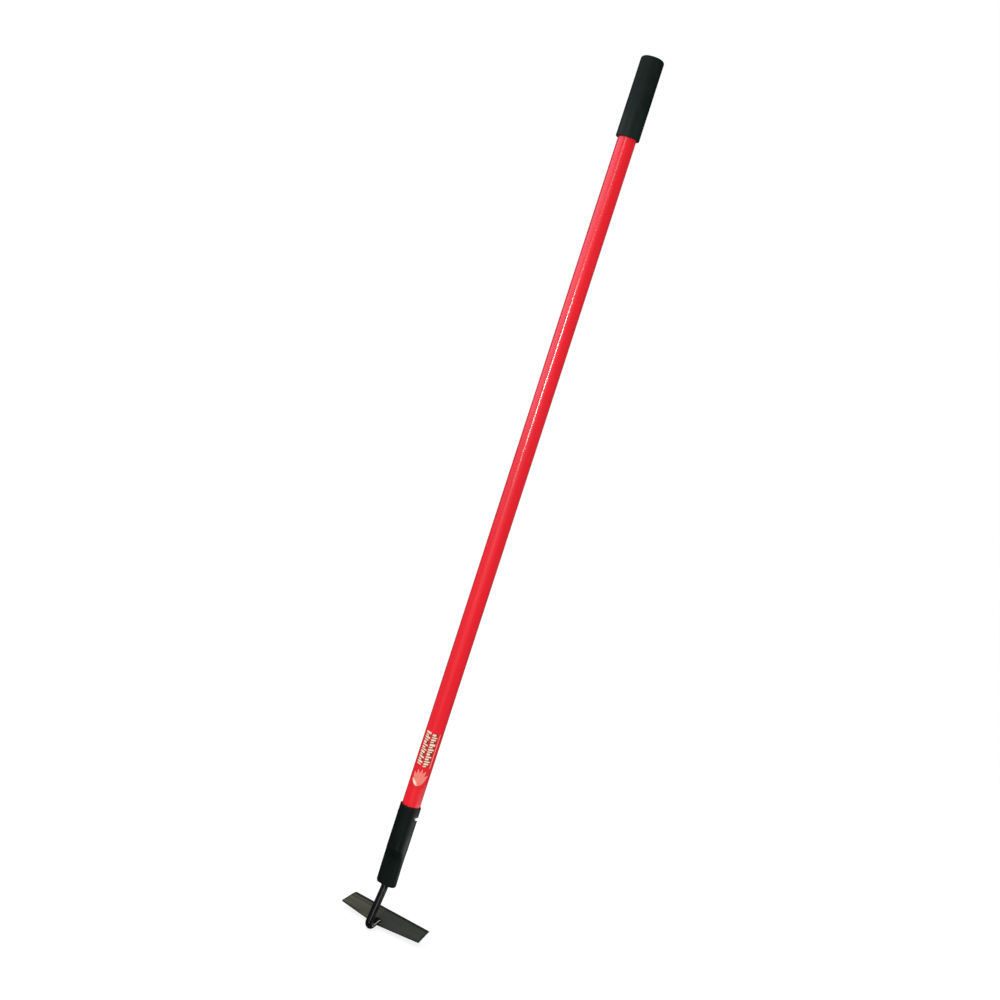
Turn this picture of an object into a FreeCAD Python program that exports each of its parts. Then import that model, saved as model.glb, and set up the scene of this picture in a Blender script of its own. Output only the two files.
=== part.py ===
"""Long-handled hoe: a narrow blade on a gooseneck shank, a crimped steel ferrule and a hollow handle.

Millimetres.  The origin is the middle of the bare handle, +Z runs up the handle to the grip,
+Y points from the shank to the cutting edge, and X runs along the blade.
"""
import FreeCAD, Part
import math
import os

import Sketcher
from FreeCAD import Placement, Rotation, Vector

SIZES = (
    # handle
    ("handle_od", 31.75, "outside diameter of the fibreglass handle"),
    ("handle_wall", 2.6, "wall of the outer tube"),
    ("bare_length", 1176.0, "handle in view between the ferrule and the grip"),
    ("socket_insert", 66.0, "handle held inside the ferrule"),
    ("grip_cover", 130.0, "handle covered by the grip"),
    ("sleeve_wall", 2.2, "wall of the first inner tube"),
    ("sleeve_length", 560.0, "length of the first inner tube"),
    ("core_wall", 2.0, "wall of the second inner tube"),
    ("core_length", 330.0, "length of the second inner tube"),
    ("plug_length", 95.0, "length of the solid plug behind the rivet"),
    ("bond_gap", 0.05, "radial gap of a glued joint"),
    # grip and end plug
    ("grip_od", 40.8, "grip diameter"),
    ("grip_length", 138.6, "overall length of the grip"),
    ("grip_crown", 6.5, "radius round the closed end"),
    ("grip_rim", 1.2, "radius round the open rim"),
    ("end_plug_flange", 2.4, "thickness of the plug's flange on the handle end"),
    ("end_plug_stem", 24.0, "length of the plug's stem inside the handle"),
    # ferrule
    ("ferrule_wall", 2.2, "wall of the ferrule tube"),
    ("ferrule_length", 142.5, "overall length of the ferrule"),
    ("socket_gap", 0.1, "radial gap between the handle and the ferrule"),
    ("round_length", 75.0, "part of the ferrule that stays round"),
    ("crimp_run", 22.0, "length over which the tube turns flat"),
    ("crimp_width", 38.6, "width of the flattened part"),
    ("crimp_gap", 0.1, "gap between the flattened walls and the shank"),
    ("end_wall", 4.0, "thickness of the closed end"),
    ("end_taper", 3.5, "height of the taper round the closed end"),
    ("end_step", 2.6, "how far the taper draws in each side"),
    ("end_thin", 0.5, "how far the taper draws in each flat face"),
    ("mouth_round", 0.9, "radius round the mouth"),
    # rivet
    ("rivet_depth", 17.5, "rivet axis below the ferrule mouth"),
    ("rivet_d", 6.35, "rivet shank diameter"),
    ("rivet_gap", 0.1, "radial gap round the rivet"),
    ("rivet_head_d", 9.6, "rivet head diameter"),
    ("rivet_head_high", 2.4, "rivet head height over the ferrule"),
    # shank
    ("rod_d", 12.7, "diameter of the shank rod"),
    ("rod_insert", 40.0, "rod held inside the ferrule"),
    ("neck_straight", 3.5, "straight rod below the ferrule"),
    ("neck_radius", 30.0, "radius of the upper bend"),
    ("neck_lean", 12.0, "lean of the neck away from the cutting edge, degrees"),
    ("goose_radius", 8.0, "radius of the lower bend"),
    ("rod_lap", 9.0, "length of rod lying on the blade"),
    ("rod_flat", 0.9, "depth of the flat that seats on the blade"),
    # blade
    ("blade_width", 169.6, "blade width across its shoulders"),
    ("edge_width", 162.3, "width of the cutting edge"),
    ("blade_side", 35.1, "height of the blade's sides"),
    ("blade_rise", 10.2, "how far the peak of the back edge stands out"),
    ("blade_thick", 2.7, "blade thickness"),
    ("blade_tilt", 25.4, "rise of the blade towards its cutting edge, degrees"),
    ("blade_drop", 73.7, "peak of the back edge below the ferrule end"),
    ("blade_offset", 10.9, "peak of the back edge in front of the handle axis"),
    ("bevel_width", 6.0, "width of the ground bevel"),
    ("bevel_land", 0.7, "thickness left at the cutting edge"),
    ("corner_round", 1.5, "radius of the blade corners"),
    # welds
    ("bead_radius", 3.3, "radius of the weld beads on the blade"),
    ("bead_side", 5.7, "bead centre beside the rod axis"),
    ("bead_lift", 0.9, "bead centre above the blade face"),
    ("bead_start", 1.6, "bead start beyond the back edge"),
    ("ring_leg", 1.9, "leg of the ring weld at the ferrule end"),
    # label
    ("label_thick", 0.12, "thickness of the label film"),
    ("label_gap", 0.02, "glue line under the label"),
    ("label_length", 100.0, "length of the label along the handle"),
    ("label_above", 33.0, "gap between the ferrule mouth and the label"),
    ("label_wrap", 150.0, "angle the label covers, degrees"),
    ("label_facing", 30.0, "direction the label faces, turned from -Y towards +X, degrees"),
)

ORIGIN_POINT = (-1, 1)
H_AXIS = -1
V_AXIS = -2
START, END, CENTRE = 1, 2, 3
SAME = 1e-6


def size(alias):
    """Expression that reads one cell of the size sheet."""
    return "Sizes." + alias


# Levels and radii that several pieces share, as expressions on the sheet.
HANDLE_R = "Sizes.handle_od / 2"
HANDLE_BORE_R = "(Sizes.handle_od / 2 - Sizes.handle_wall)"
SLEEVE_R = f"({HANDLE_BORE_R} - Sizes.bond_gap)"
SLEEVE_BORE_R = f"({SLEEVE_R} - Sizes.sleeve_wall)"
CORE_R = f"({SLEEVE_BORE_R} - Sizes.bond_gap)"
CORE_BORE_R = f"({CORE_R} - Sizes.core_wall)"
PLUG_R = f"({CORE_BORE_R} - Sizes.bond_gap)"
MOUTH_Z = "(-Sizes.bare_length / 2)"
HANDLE_LOW_Z = f"({MOUTH_Z} - Sizes.socket_insert)"
HANDLE_LENGTH = "(Sizes.socket_insert + Sizes.bare_length + Sizes.grip_cover)"
HANDLE_TOP_Z = "(Sizes.bare_length / 2 + Sizes.grip_cover)"
GRIP_LOW_Z = "(Sizes.bare_length / 2)"
GRIP_TOP_Z = f"({GRIP_LOW_Z} + Sizes.grip_length)"
SOCKET_R = "(Sizes.handle_od / 2 + Sizes.socket_gap)"
FERRULE_R = f"({SOCKET_R} + Sizes.ferrule_wall)"
ROUND_END_Z = f"({MOUTH_Z} - Sizes.round_length)"
CRIMP_Z = f"({ROUND_END_Z} - Sizes.crimp_run)"
FERRULE_END_Z = f"({MOUTH_Z} - Sizes.ferrule_length)"
TAPER_Z = f"({FERRULE_END_Z} + Sizes.end_taper)"
CAVITY_END_Z = f"({FERRULE_END_Z} + Sizes.end_wall)"
CRIMP_INNER_THICK = "(Sizes.rod_d + 2 * Sizes.crimp_gap)"
CRIMP_THICK = f"({CRIMP_INNER_THICK} + 2 * Sizes.ferrule_wall)"
CRIMP_INNER_WIDTH = "(Sizes.crimp_width - 2 * Sizes.ferrule_wall)"
TIP_WIDTH = "(Sizes.crimp_width - 2 * Sizes.end_step)"
TIP_THICK = f"({CRIMP_THICK} - 2 * Sizes.end_thin)"
RIVET_Z = f"({MOUTH_Z} - Sizes.rivet_depth)"
RIVET_HOLE_R = "(Sizes.rivet_d / 2 + Sizes.rivet_gap)"
HEAD_R = "(Sizes.rivet_head_d / 2)"
RIVET_TIP_X = f"({FERRULE_R} + Sizes.rivet_head_high)"
ROD_R = "(Sizes.rod_d / 2)"
ROD_HOLE_R = "(Sizes.rod_d / 2 + Sizes.crimp_gap)"
ROD_TOP_Z = f"({FERRULE_END_Z} + Sizes.rod_insert)"
NECK_Z = f"({FERRULE_END_Z} - Sizes.neck_straight)"
PEAK_Y = "Sizes.blade_offset"
PEAK_Z = f"({FERRULE_END_Z} - Sizes.blade_drop)"
ROD_HEIGHT = "(Sizes.rod_d / 2 - Sizes.rod_flat)"
TILT_COS = "cos(Sizes.blade_tilt * 1 deg)"
TILT_SIN = "sin(Sizes.blade_tilt * 1 deg)"
ROD_END_Y = f"({PEAK_Y} + Sizes.rod_lap * {TILT_COS} - {ROD_HEIGHT} * {TILT_SIN})"
ROD_END_Z = f"({PEAK_Z} + Sizes.rod_lap * {TILT_SIN} + {ROD_HEIGHT} * {TILT_COS})"
BEAD_FIRST = "(Sizes.bead_start + Sizes.bead_radius)"
BEAD_LAST = "(Sizes.rod_lap - Sizes.bead_radius / 2)"


def fill_sheet(doc):
    """Put every driving size in the sheet, one row each."""
    sheet = doc.addObject("Spreadsheet::Sheet", "Sizes")
    for row, (alias, value, note) in enumerate(SIZES, start=1):
        sheet.set(f"A{row}", note)
        sheet.set(f"B{row}", str(value))
        sheet.setAlias(f"B{row}", alias)
    doc.recompute()
    return sheet


def value_of(doc, expression):
    """Number that an expression on the sheet gives now."""
    result = doc.Sizes.evalExpression(expression)
    return float(getattr(result, "Value", result))


def bind(thing, **expressions):
    """Bind properties to expressions; a double underscore stands for a dot."""
    for name, expression in expressions.items():
        thing.setExpression(name.replace("__", "."), expression)


def origin_plane(body, role):
    """One of a body's own base planes."""
    return next(item for item in body.Origin.OriginFeatures if item.Role == role)


def new_body(doc, name):
    """Body whose label is the name of the node."""
    body = doc.addObject("PartDesign::Body", name)
    body.Label = name
    return body


def new_sketch(body, name, role="XY_Plane", level=None):
    """Sketch on one of the body's base planes, moved along the plane's normal to a level."""
    sketch = body.newObject("Sketcher::SketchObject", name)
    sketch.AttachmentSupport = [(origin_plane(body, role), "")]
    sketch.MapMode = "FlatFace"
    if level is not None:
        bind(sketch, AttachmentOffset__Base__z=level)
    return sketch


def constrain(sketch, kind, *refs, expression=None):
    """Add one constraint, and bind its value when an expression is given."""
    if expression is None:
        return sketch.addConstraint(Sketcher.Constraint(kind, *refs))
    number = value_of(sketch.Document, expression)
    if kind == "Angle":
        number = math.radians(number)
    index = sketch.addConstraint(Sketcher.Constraint(kind, *refs, number))
    sketch.setExpression(f"Constraints[{index}]", expression)
    return index


def add_circle(sketch, radius, centre=None):
    """Circle about the sketch origin, or about a point (x, y) given as expressions."""
    doc = sketch.Document
    place = Vector(0, 0, 0)
    if centre is not None:
        place = Vector(value_of(doc, centre[0]), value_of(doc, centre[1]), 0)
    index = sketch.addGeometry(Part.Circle(place, Vector(0, 0, 1), value_of(doc, radius)))
    constrain(sketch, "Radius", index, expression=radius)
    if centre is None:
        constrain(sketch, "Coincident", index, CENTRE, *ORIGIN_POINT)
        return index
    if value_of(doc, centre[0]) == 0:
        constrain(sketch, "PointOnObject", index, CENTRE, V_AXIS)
    else:
        constrain(sketch, "DistanceX", *ORIGIN_POINT, index, CENTRE, expression=centre[0])
    constrain(sketch, "DistanceY", *ORIGIN_POINT, index, CENTRE, expression=centre[1])
    return index


def add_obround(sketch, width, thickness):
    """Flat oval about the sketch origin: two straight faces joined by half circles."""
    doc = sketch.Document
    half = value_of(doc, thickness) / 2
    reach = value_of(doc, width) / 2 - half
    up = Vector(0, 0, 1)
    quarter = math.pi / 2
    right_end = Part.Circle(Vector(reach, 0, 0), up, half)
    left_end = Part.Circle(Vector(-reach, 0, 0), up, half)
    sketch.addGeometry(Part.LineSegment(Vector(-reach, half, 0), Vector(reach, half, 0)))
    sketch.addGeometry(Part.ArcOfCircle(right_end, -quarter, quarter))
    sketch.addGeometry(Part.LineSegment(Vector(reach, -half, 0), Vector(-reach, -half, 0)))
    sketch.addGeometry(Part.ArcOfCircle(left_end, quarter, 3 * quarter))
    constrain(sketch, "Tangent", 0, END, 1, END)
    constrain(sketch, "Tangent", 1, START, 2, START)
    constrain(sketch, "Tangent", 2, END, 3, END)
    constrain(sketch, "Tangent", 3, START, 0, START)
    constrain(sketch, "Horizontal", 0)
    constrain(sketch, "Symmetric", 1, CENTRE, 3, CENTRE, *ORIGIN_POINT)
    constrain(sketch, "PointOnObject", 1, CENTRE, H_AXIS)
    constrain(sketch, "Radius", 1, expression=f"{thickness} / 2")
    constrain(sketch, "DistanceX", 3, CENTRE, 1, CENTRE, expression=f"{width} - {thickness}")


def add_polygon(sketch, points):
    """Closed outline through points whose coordinates are expressions ("0" lies on an axis)."""
    doc = sketch.Document
    places = [Vector(value_of(doc, x), value_of(doc, y), 0) for x, y in points]
    first = sketch.GeometryCount
    count = len(points)
    for step in range(count):
        sketch.addGeometry(Part.LineSegment(places[step], places[(step + 1) % count]))
    for step in range(count):
        constrain(sketch, "Coincident", first + step, END, first + (step + 1) % count, START)
    for step, (x, y) in enumerate(points):
        for axis, expression, kind in ((V_AXIS, x, "DistanceX"), (H_AXIS, y, "DistanceY")):
            if expression == "0":
                constrain(sketch, "PointOnObject", first + step, START, axis)
            else:
                constrain(sketch, kind, *ORIGIN_POINT, first + step, START, expression=expression)
    return first


def add_feature(body, kind, name, profile, **settings):
    """Feature of a body made from a profile sketch."""
    feature = body.newObject("PartDesign::" + kind, name)
    feature.Profile = profile
    for prop, value in settings.items():
        setattr(feature, prop, value)
    return feature


def add_pad(body, name, profile, length, down=False):
    """Pad along the sketch normal, or against it."""
    pad = add_feature(body, "Pad", name, profile, Reversed=down)
    bind(pad, Length=length)
    return pad


def add_pocket(body, name, profile, length, up=False):
    """Pocket against the sketch normal, or along it."""
    pocket = add_feature(body, "Pocket", name, profile, Reversed=up)
    bind(pocket, Length=length)
    return pocket


def add_fillet(body, name, base, picks, radius):
    """Fillet on the edges of the last feature that the test picks."""
    body.Document.recompute()
    edges = [f"Edge{n}" for n, edge in enumerate(base.Shape.Edges, start=1) if picks(edge)]
    fillet = body.newObject("PartDesign::Fillet", name)
    fillet.Base = (base, edges)
    bind(fillet, Radius=radius)
    return fillet


def add_round(body, name, base, level, radius):
    """Fillet on the edges of the last feature that lie wholly at one level."""
    height = value_of(body.Document, level)

    def at_level(edge):
        box = edge.BoundBox
        return abs(box.ZMin - height) < SAME and abs(box.ZMax - height) < SAME

    return add_fillet(body, name, base, at_level, radius)


def drill_rivet_hole(body, half_span):
    """Round hole along X for the rivet, through everything within half_span of the axis."""
    sketch = new_sketch(body, body.Name + "_rivet_hole", "YZ_Plane")
    add_circle(sketch, RIVET_HOLE_R, ("0", RIVET_Z))
    pocket = add_feature(body, "Pocket", body.Name + "_rivet_pocket", sketch, Midplane=True)
    bind(pocket, Length=f"2 * {half_span}")
    return pocket


def make_tube(doc, name, outer, inner, length):
    """Tube that starts at the handle's lower end, with the rivet hole through it."""
    body = new_body(doc, name)
    sketch = new_sketch(body, name + "_section", level=HANDLE_LOW_Z)
    add_circle(sketch, outer)
    if inner is not None:
        add_circle(sketch, inner)
    add_pad(body, name + "_pad", sketch, length)
    drill_rivet_hole(body, "Sizes.handle_od")
    return body


def make_handle(doc):
    """Outer tube, its two inner tubes and the solid plug behind the rivet."""
    return [
        make_tube(doc, "handle_tube", HANDLE_R, HANDLE_BORE_R, HANDLE_LENGTH),
        make_tube(doc, "reinforcement_tube", SLEEVE_R, SLEEVE_BORE_R, size("sleeve_length")),
        make_tube(doc, "core_tube", CORE_R, CORE_BORE_R, size("core_length")),
        make_tube(doc, "core_plug", PLUG_R, None, size("plug_length")),
    ]


def make_end_plug(doc):
    """Plug that closes the handle's upper end under the grip."""
    body = new_body(doc, "end_plug")
    stem = new_sketch(body, "end_plug_stem_section", level=HANDLE_TOP_Z)
    add_circle(stem, SLEEVE_R)
    add_pad(body, "end_plug_stem_pad", stem, size("end_plug_stem"), down=True)
    flange = new_sketch(body, "end_plug_flange_section", level=HANDLE_TOP_Z)
    add_circle(flange, HANDLE_R)
    add_pad(body, "end_plug_flange_pad", flange, size("end_plug_flange"))
    return body


def make_grip(doc):
    """Moulded sleeve, closed at the top, drawn on over the handle and its plug."""
    body = new_body(doc, "grip")
    section = new_sketch(body, "grip_section", level=GRIP_LOW_Z)
    add_circle(section, "Sizes.grip_od / 2")
    blank = add_pad(body, "grip_blank", section, size("grip_length"))
    crown = add_round(body, "grip_crown_round", blank, GRIP_TOP_Z, size("grip_crown"))
    add_round(body, "grip_rim_round", crown, GRIP_LOW_Z, size("grip_rim"))
    bore = new_sketch(body, "grip_bore_section", level=GRIP_LOW_Z)
    add_circle(bore, f"({HANDLE_R} + Sizes.bond_gap)")
    add_pocket(body, "grip_bore", bore, "Sizes.grip_cover + Sizes.end_plug_flange", up=True)
    return body


def make_ferrule(doc):
    """Steel socket: round where it holds the handle, pressed flat and closed round the shank."""
    body = new_body(doc, "ferrule")
    mouth = new_sketch(body, "ferrule_mouth", level=MOUTH_Z)
    add_circle(mouth, FERRULE_R)
    round_part = add_pad(body, "ferrule_round", mouth, size("round_length"), down=True)
    add_round(body, "ferrule_mouth_round", round_part, MOUTH_Z, size("mouth_round"))

    start = new_sketch(body, "crimp_start", level=ROUND_END_Z)
    add_circle(start, FERRULE_R)
    finish = new_sketch(body, "crimp_finish", level=CRIMP_Z)
    add_obround(finish, size("crimp_width"), CRIMP_THICK)
    add_feature(body, "AdditiveLoft", "ferrule_crimp", start, Sections=[finish])

    flat = new_sketch(body, "flat_section", level=CRIMP_Z)
    add_obround(flat, size("crimp_width"), CRIMP_THICK)
    add_pad(body, "ferrule_flat", flat, f"{CRIMP_Z} - {TAPER_Z}", down=True)

    taper = new_sketch(body, "taper_section", level=TAPER_Z)
    add_obround(taper, size("crimp_width"), CRIMP_THICK)
    tip = new_sketch(body, "tip_section", level=FERRULE_END_Z)
    add_obround(tip, TIP_WIDTH, TIP_THICK)
    add_feature(body, "AdditiveLoft", "ferrule_taper", taper, Sections=[tip])

    socket = new_sketch(body, "socket_section", level=MOUTH_Z)
    add_circle(socket, SOCKET_R)
    add_pocket(body, "ferrule_socket", socket, size("round_length"))

    inner_start = new_sketch(body, "inner_start", level=ROUND_END_Z)
    add_circle(inner_start, SOCKET_R)
    inner_finish = new_sketch(body, "inner_finish", level=CRIMP_Z)
    add_obround(inner_finish, CRIMP_INNER_WIDTH, CRIMP_INNER_THICK)
    add_feature(body, "SubtractiveLoft", "ferrule_inner_crimp", inner_start, Sections=[inner_finish])

    cavity = new_sketch(body, "cavity_section", level=CRIMP_Z)
    add_obround(cavity, CRIMP_INNER_WIDTH, CRIMP_INNER_THICK)
    add_pocket(body, "ferrule_cavity", cavity, f"{CRIMP_Z} - {CAVITY_END_Z}")

    hole = new_sketch(body, "rod_hole", level=CAVITY_END_Z)
    add_circle(hole, ROD_HOLE_R)
    add_pocket(body, "ferrule_rod_hole", hole, size("end_wall"))

    drill_rivet_hole(body, FERRULE_R)
    return body


def make_ring_weld(doc):
    """Fillet weld that closes the joint between the ferrule's end and the rod."""
    body = new_body(doc, "ferrule_weld")
    profile = new_sketch(body, "ring_profile", "XZ_Plane")
    add_polygon(profile, (
        (ROD_R, FERRULE_END_Z),
        (f"({ROD_R} + Sizes.ring_leg)", FERRULE_END_Z),
        (f"({ROD_R} + Sizes.ring_leg / 3)", f"({FERRULE_END_Z} - Sizes.ring_leg * 2 / 3)"),
        (ROD_R, f"({FERRULE_END_Z} - Sizes.ring_leg)"),
    ))
    ring = add_feature(body, "Revolution", "ring_turned", profile, Angle=360.0)
    ring.ReferenceAxis = (profile, ["V_Axis"])
    return body


def make_rivet(doc):
    """Through rivet along X, with a domed head seated on the ferrule at each end."""
    shank = doc.addObject("Part::Cylinder", "rivet_shank")
    bind(shank, Radius="Sizes.rivet_d / 2", Height=f"2 * {FERRULE_R}")
    shank.Placement = Placement(Vector(0, 0, 0), Rotation(Vector(0, 1, 0), 90))
    bind(shank, Placement__Base__x=f"-{FERRULE_R}", Placement__Base__z=RIVET_Z)

    bar = new_body(doc, "rivet_bar")
    outline = new_sketch(bar, "rivet_outline", "XZ_Plane")
    trace_domed_bar(outline)
    turned = add_feature(bar, "Revolution", "rivet_turned", outline, Angle=360.0)
    turned.ReferenceAxis = (outline, ["H_Axis"])
    bind(bar, Placement__Base__z=RIVET_Z)
    barrel = doc.addObject("Part::Cylinder", "rivet_seat")
    bind(barrel, Radius=FERRULE_R, Height="4 * Sizes.rivet_head_d")
    bind(barrel, Placement__Base__z=f"{RIVET_Z} - 2 * Sizes.rivet_head_d")
    heads = doc.addObject("Part::Cut", "rivet_heads")
    heads.Base = bar
    heads.Tool = barrel
    rivet = doc.addObject("Part::Fuse", "ferrule_rivet")
    rivet.Base = heads
    rivet.Tool = shank
    rivet.Label = "ferrule_rivet"
    return rivet


def trace_domed_bar(outline):
    """Half outline of a bar as thick as the rivet heads, with a low dome on each end."""
    doc = outline.Document
    head = value_of(doc, HEAD_R)
    seat = value_of(doc, FERRULE_R)
    tip = value_of(doc, RIVET_TIP_X)
    high = tip - seat
    dome = (head ** 2 + high ** 2) / (2 * high)
    spread = math.asin(head / dome)
    up = Vector(0, 0, 1)
    right_hub = Vector(tip - dome, 0, 0)
    left_hub = Vector(dome - tip, 0, 0)
    outline.addGeometry(Part.LineSegment(Vector(-tip, 0, 0), Vector(tip, 0, 0)))
    outline.addGeometry(Part.ArcOfCircle(Part.Circle(right_hub, up, dome), 0, spread))
    outline.addGeometry(Part.LineSegment(Vector(seat, head, 0), Vector(-seat, head, 0)))
    outline.addGeometry(Part.ArcOfCircle(Part.Circle(left_hub, up, dome), math.pi - spread, math.pi))
    constrain(outline, "Coincident", 0, END, 1, START)
    constrain(outline, "Coincident", 1, END, 2, START)
    constrain(outline, "Coincident", 2, END, 3, START)
    constrain(outline, "Coincident", 3, END, 0, START)
    constrain(outline, "PointOnObject", 1, CENTRE, H_AXIS)
    constrain(outline, "PointOnObject", 3, CENTRE, H_AXIS)
    constrain(outline, "PointOnObject", 0, START, H_AXIS)
    constrain(outline, "PointOnObject", 0, END, H_AXIS)
    constrain(outline, "DistanceX", *ORIGIN_POINT, 0, END, expression=RIVET_TIP_X)
    constrain(outline, "DistanceX", 0, START, *ORIGIN_POINT, expression=RIVET_TIP_X)
    constrain(outline, "DistanceX", *ORIGIN_POINT, 2, START, expression=FERRULE_R)
    constrain(outline, "DistanceX", 2, END, *ORIGIN_POINT, expression=FERRULE_R)
    constrain(outline, "DistanceY", *ORIGIN_POINT, 2, START, expression=HEAD_R)
    constrain(outline, "DistanceY", *ORIGIN_POINT, 2, END, expression=HEAD_R)


def place_on_blade(thing):
    """Give a body the blade's own frame: origin at the peak of the back edge, +Z out of the top face."""
    thing.Placement = Placement(Vector(0, 0, 0), Rotation(Vector(1, 0, 0), 1))
    bind(
        thing,
        Placement__Base__y=PEAK_Y,
        Placement__Base__z=PEAK_Z,
        Placement__Rotation__Angle=size("blade_tilt"),
    )


def make_blade(doc):
    """Flat blade with a peaked back edge and a bevel ground along the cutting edge."""
    body = new_body(doc, "hoe_blade")
    outline = new_sketch(body, "blade_outline")
    far = "(Sizes.blade_rise + Sizes.blade_side)"
    add_polygon(outline, (
        ("0", "0"),
        ("Sizes.blade_width / 2", "Sizes.blade_rise"),
        ("Sizes.edge_width / 2", far),
        ("-Sizes.edge_width / 2", far),
        ("-Sizes.blade_width / 2", "Sizes.blade_rise"),
    ))
    plate = add_pad(body, "blade_plate", outline, size("blade_thick"), down=True)
    thick = value_of(doc, size("blade_thick"))

    def is_corner(edge):
        upright = abs(edge.BoundBox.ZLength - thick) < SAME
        return upright and abs(edge.CenterOfMass.x) > SAME

    add_fillet(body, "blade_corners", plate, is_corner, size("corner_round"))
    bevel = new_sketch(body, "bevel_profile", "YZ_Plane")
    add_polygon(bevel, (
        (f"({far} - Sizes.bevel_width)", "0"),
        (f"({far} + Sizes.bevel_width)", "0"),
        (f"({far} + Sizes.bevel_width)", "-2 * (Sizes.blade_thick - Sizes.bevel_land)"),
    ))
    ground = add_feature(body, "Pocket", "blade_bevel", bevel, Midplane=True)
    bind(ground, Length="2 * Sizes.blade_width")
    place_on_blade(body)
    return body


def make_shank(doc, blade):
    """Round rod: straight in the ferrule, leaning back below it, then turned onto the blade."""
    body = new_body(doc, "shank_rod")
    section = new_sketch(body, "rod_section", level=ROD_TOP_Z)
    add_circle(section, ROD_R)
    path = new_sketch(body, "rod_path", "YZ_Plane")
    trace_rod_path(path)
    pipe = body.newObject("PartDesign::AdditivePipe", "rod_pipe")
    pipe.Profile = section
    pipe.Spine = (path, [])
    doc.recompute()
    shank = doc.addObject("Part::Cut", "gooseneck_shank")
    shank.Base = body
    shank.Tool = blade
    shank.Label = "gooseneck_shank"
    return shank


def trace_rod_path(path):
    """Draw the rod's centre line: three straight runs joined by two tangent bends."""
    doc = path.Document
    lean = math.radians(value_of(doc, size("neck_lean")))
    tilt = math.radians(value_of(doc, size("blade_tilt")))
    upper = value_of(doc, size("neck_radius"))
    lower = value_of(doc, size("goose_radius"))
    top = Vector(0, value_of(doc, ROD_TOP_Z), 0)
    neck = Vector(0, value_of(doc, NECK_Z), 0)
    end = Vector(value_of(doc, ROD_END_Y), value_of(doc, ROD_END_Z), 0)
    upper_hub = neck - Vector(upper, 0, 0)
    lean_start = upper_hub + Vector(math.cos(lean), -math.sin(lean), 0) * upper
    down = Vector(-math.sin(lean), -math.cos(lean), 0)
    along = Vector(math.cos(tilt), math.sin(tilt), 0)
    gap = end - lean_start
    cross = down.x * along.y - down.y * along.x
    reach = (gap.x * along.y - gap.y * along.x) / cross
    corner = lean_start + down * reach
    turn = math.pi / 2 + lean + tilt
    setback = lower * math.tan(turn / 2)
    lean_end = corner - down * setback
    lap_start = corner + along * setback
    lower_hub = lean_end + Vector(math.cos(lean), -math.sin(lean), 0) * lower
    up = Vector(0, 0, 1)
    path.addGeometry(Part.LineSegment(top, neck))
    path.addGeometry(Part.ArcOfCircle(Part.Circle(upper_hub, up, upper), -lean, 0))
    path.addGeometry(Part.LineSegment(lean_start, lean_end))
    first = math.atan2(lean_end.y - lower_hub.y, lean_end.x - lower_hub.x)
    last = math.atan2(lap_start.y - lower_hub.y, lap_start.x - lower_hub.x)
    path.addGeometry(Part.ArcOfCircle(Part.Circle(lower_hub, up, lower), first, last))
    path.addGeometry(Part.LineSegment(lap_start, end))
    constrain(path, "Tangent", 0, END, 1, END)
    constrain(path, "Tangent", 1, START, 2, START)
    constrain(path, "Tangent", 2, END, 3, START)
    constrain(path, "Tangent", 3, END, 4, START)
    constrain(path, "PointOnObject", 0, START, V_AXIS)
    constrain(path, "Vertical", 0)
    constrain(path, "DistanceY", *ORIGIN_POINT, 0, START, expression=ROD_TOP_Z)
    constrain(path, "DistanceY", *ORIGIN_POINT, 0, END, expression=NECK_Z)
    constrain(path, "Radius", 1, expression=size("neck_radius"))
    constrain(path, "Radius", 3, expression=size("goose_radius"))
    constrain(path, "Angle", 4, expression=size("blade_tilt"))
    constrain(path, "Angle", 2, expression="-(90 + Sizes.neck_lean)")
    constrain(path, "DistanceX", *ORIGIN_POINT, 4, END, expression=ROD_END_Y)
    constrain(path, "DistanceY", *ORIGIN_POINT, 4, END, expression=ROD_END_Z)


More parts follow.
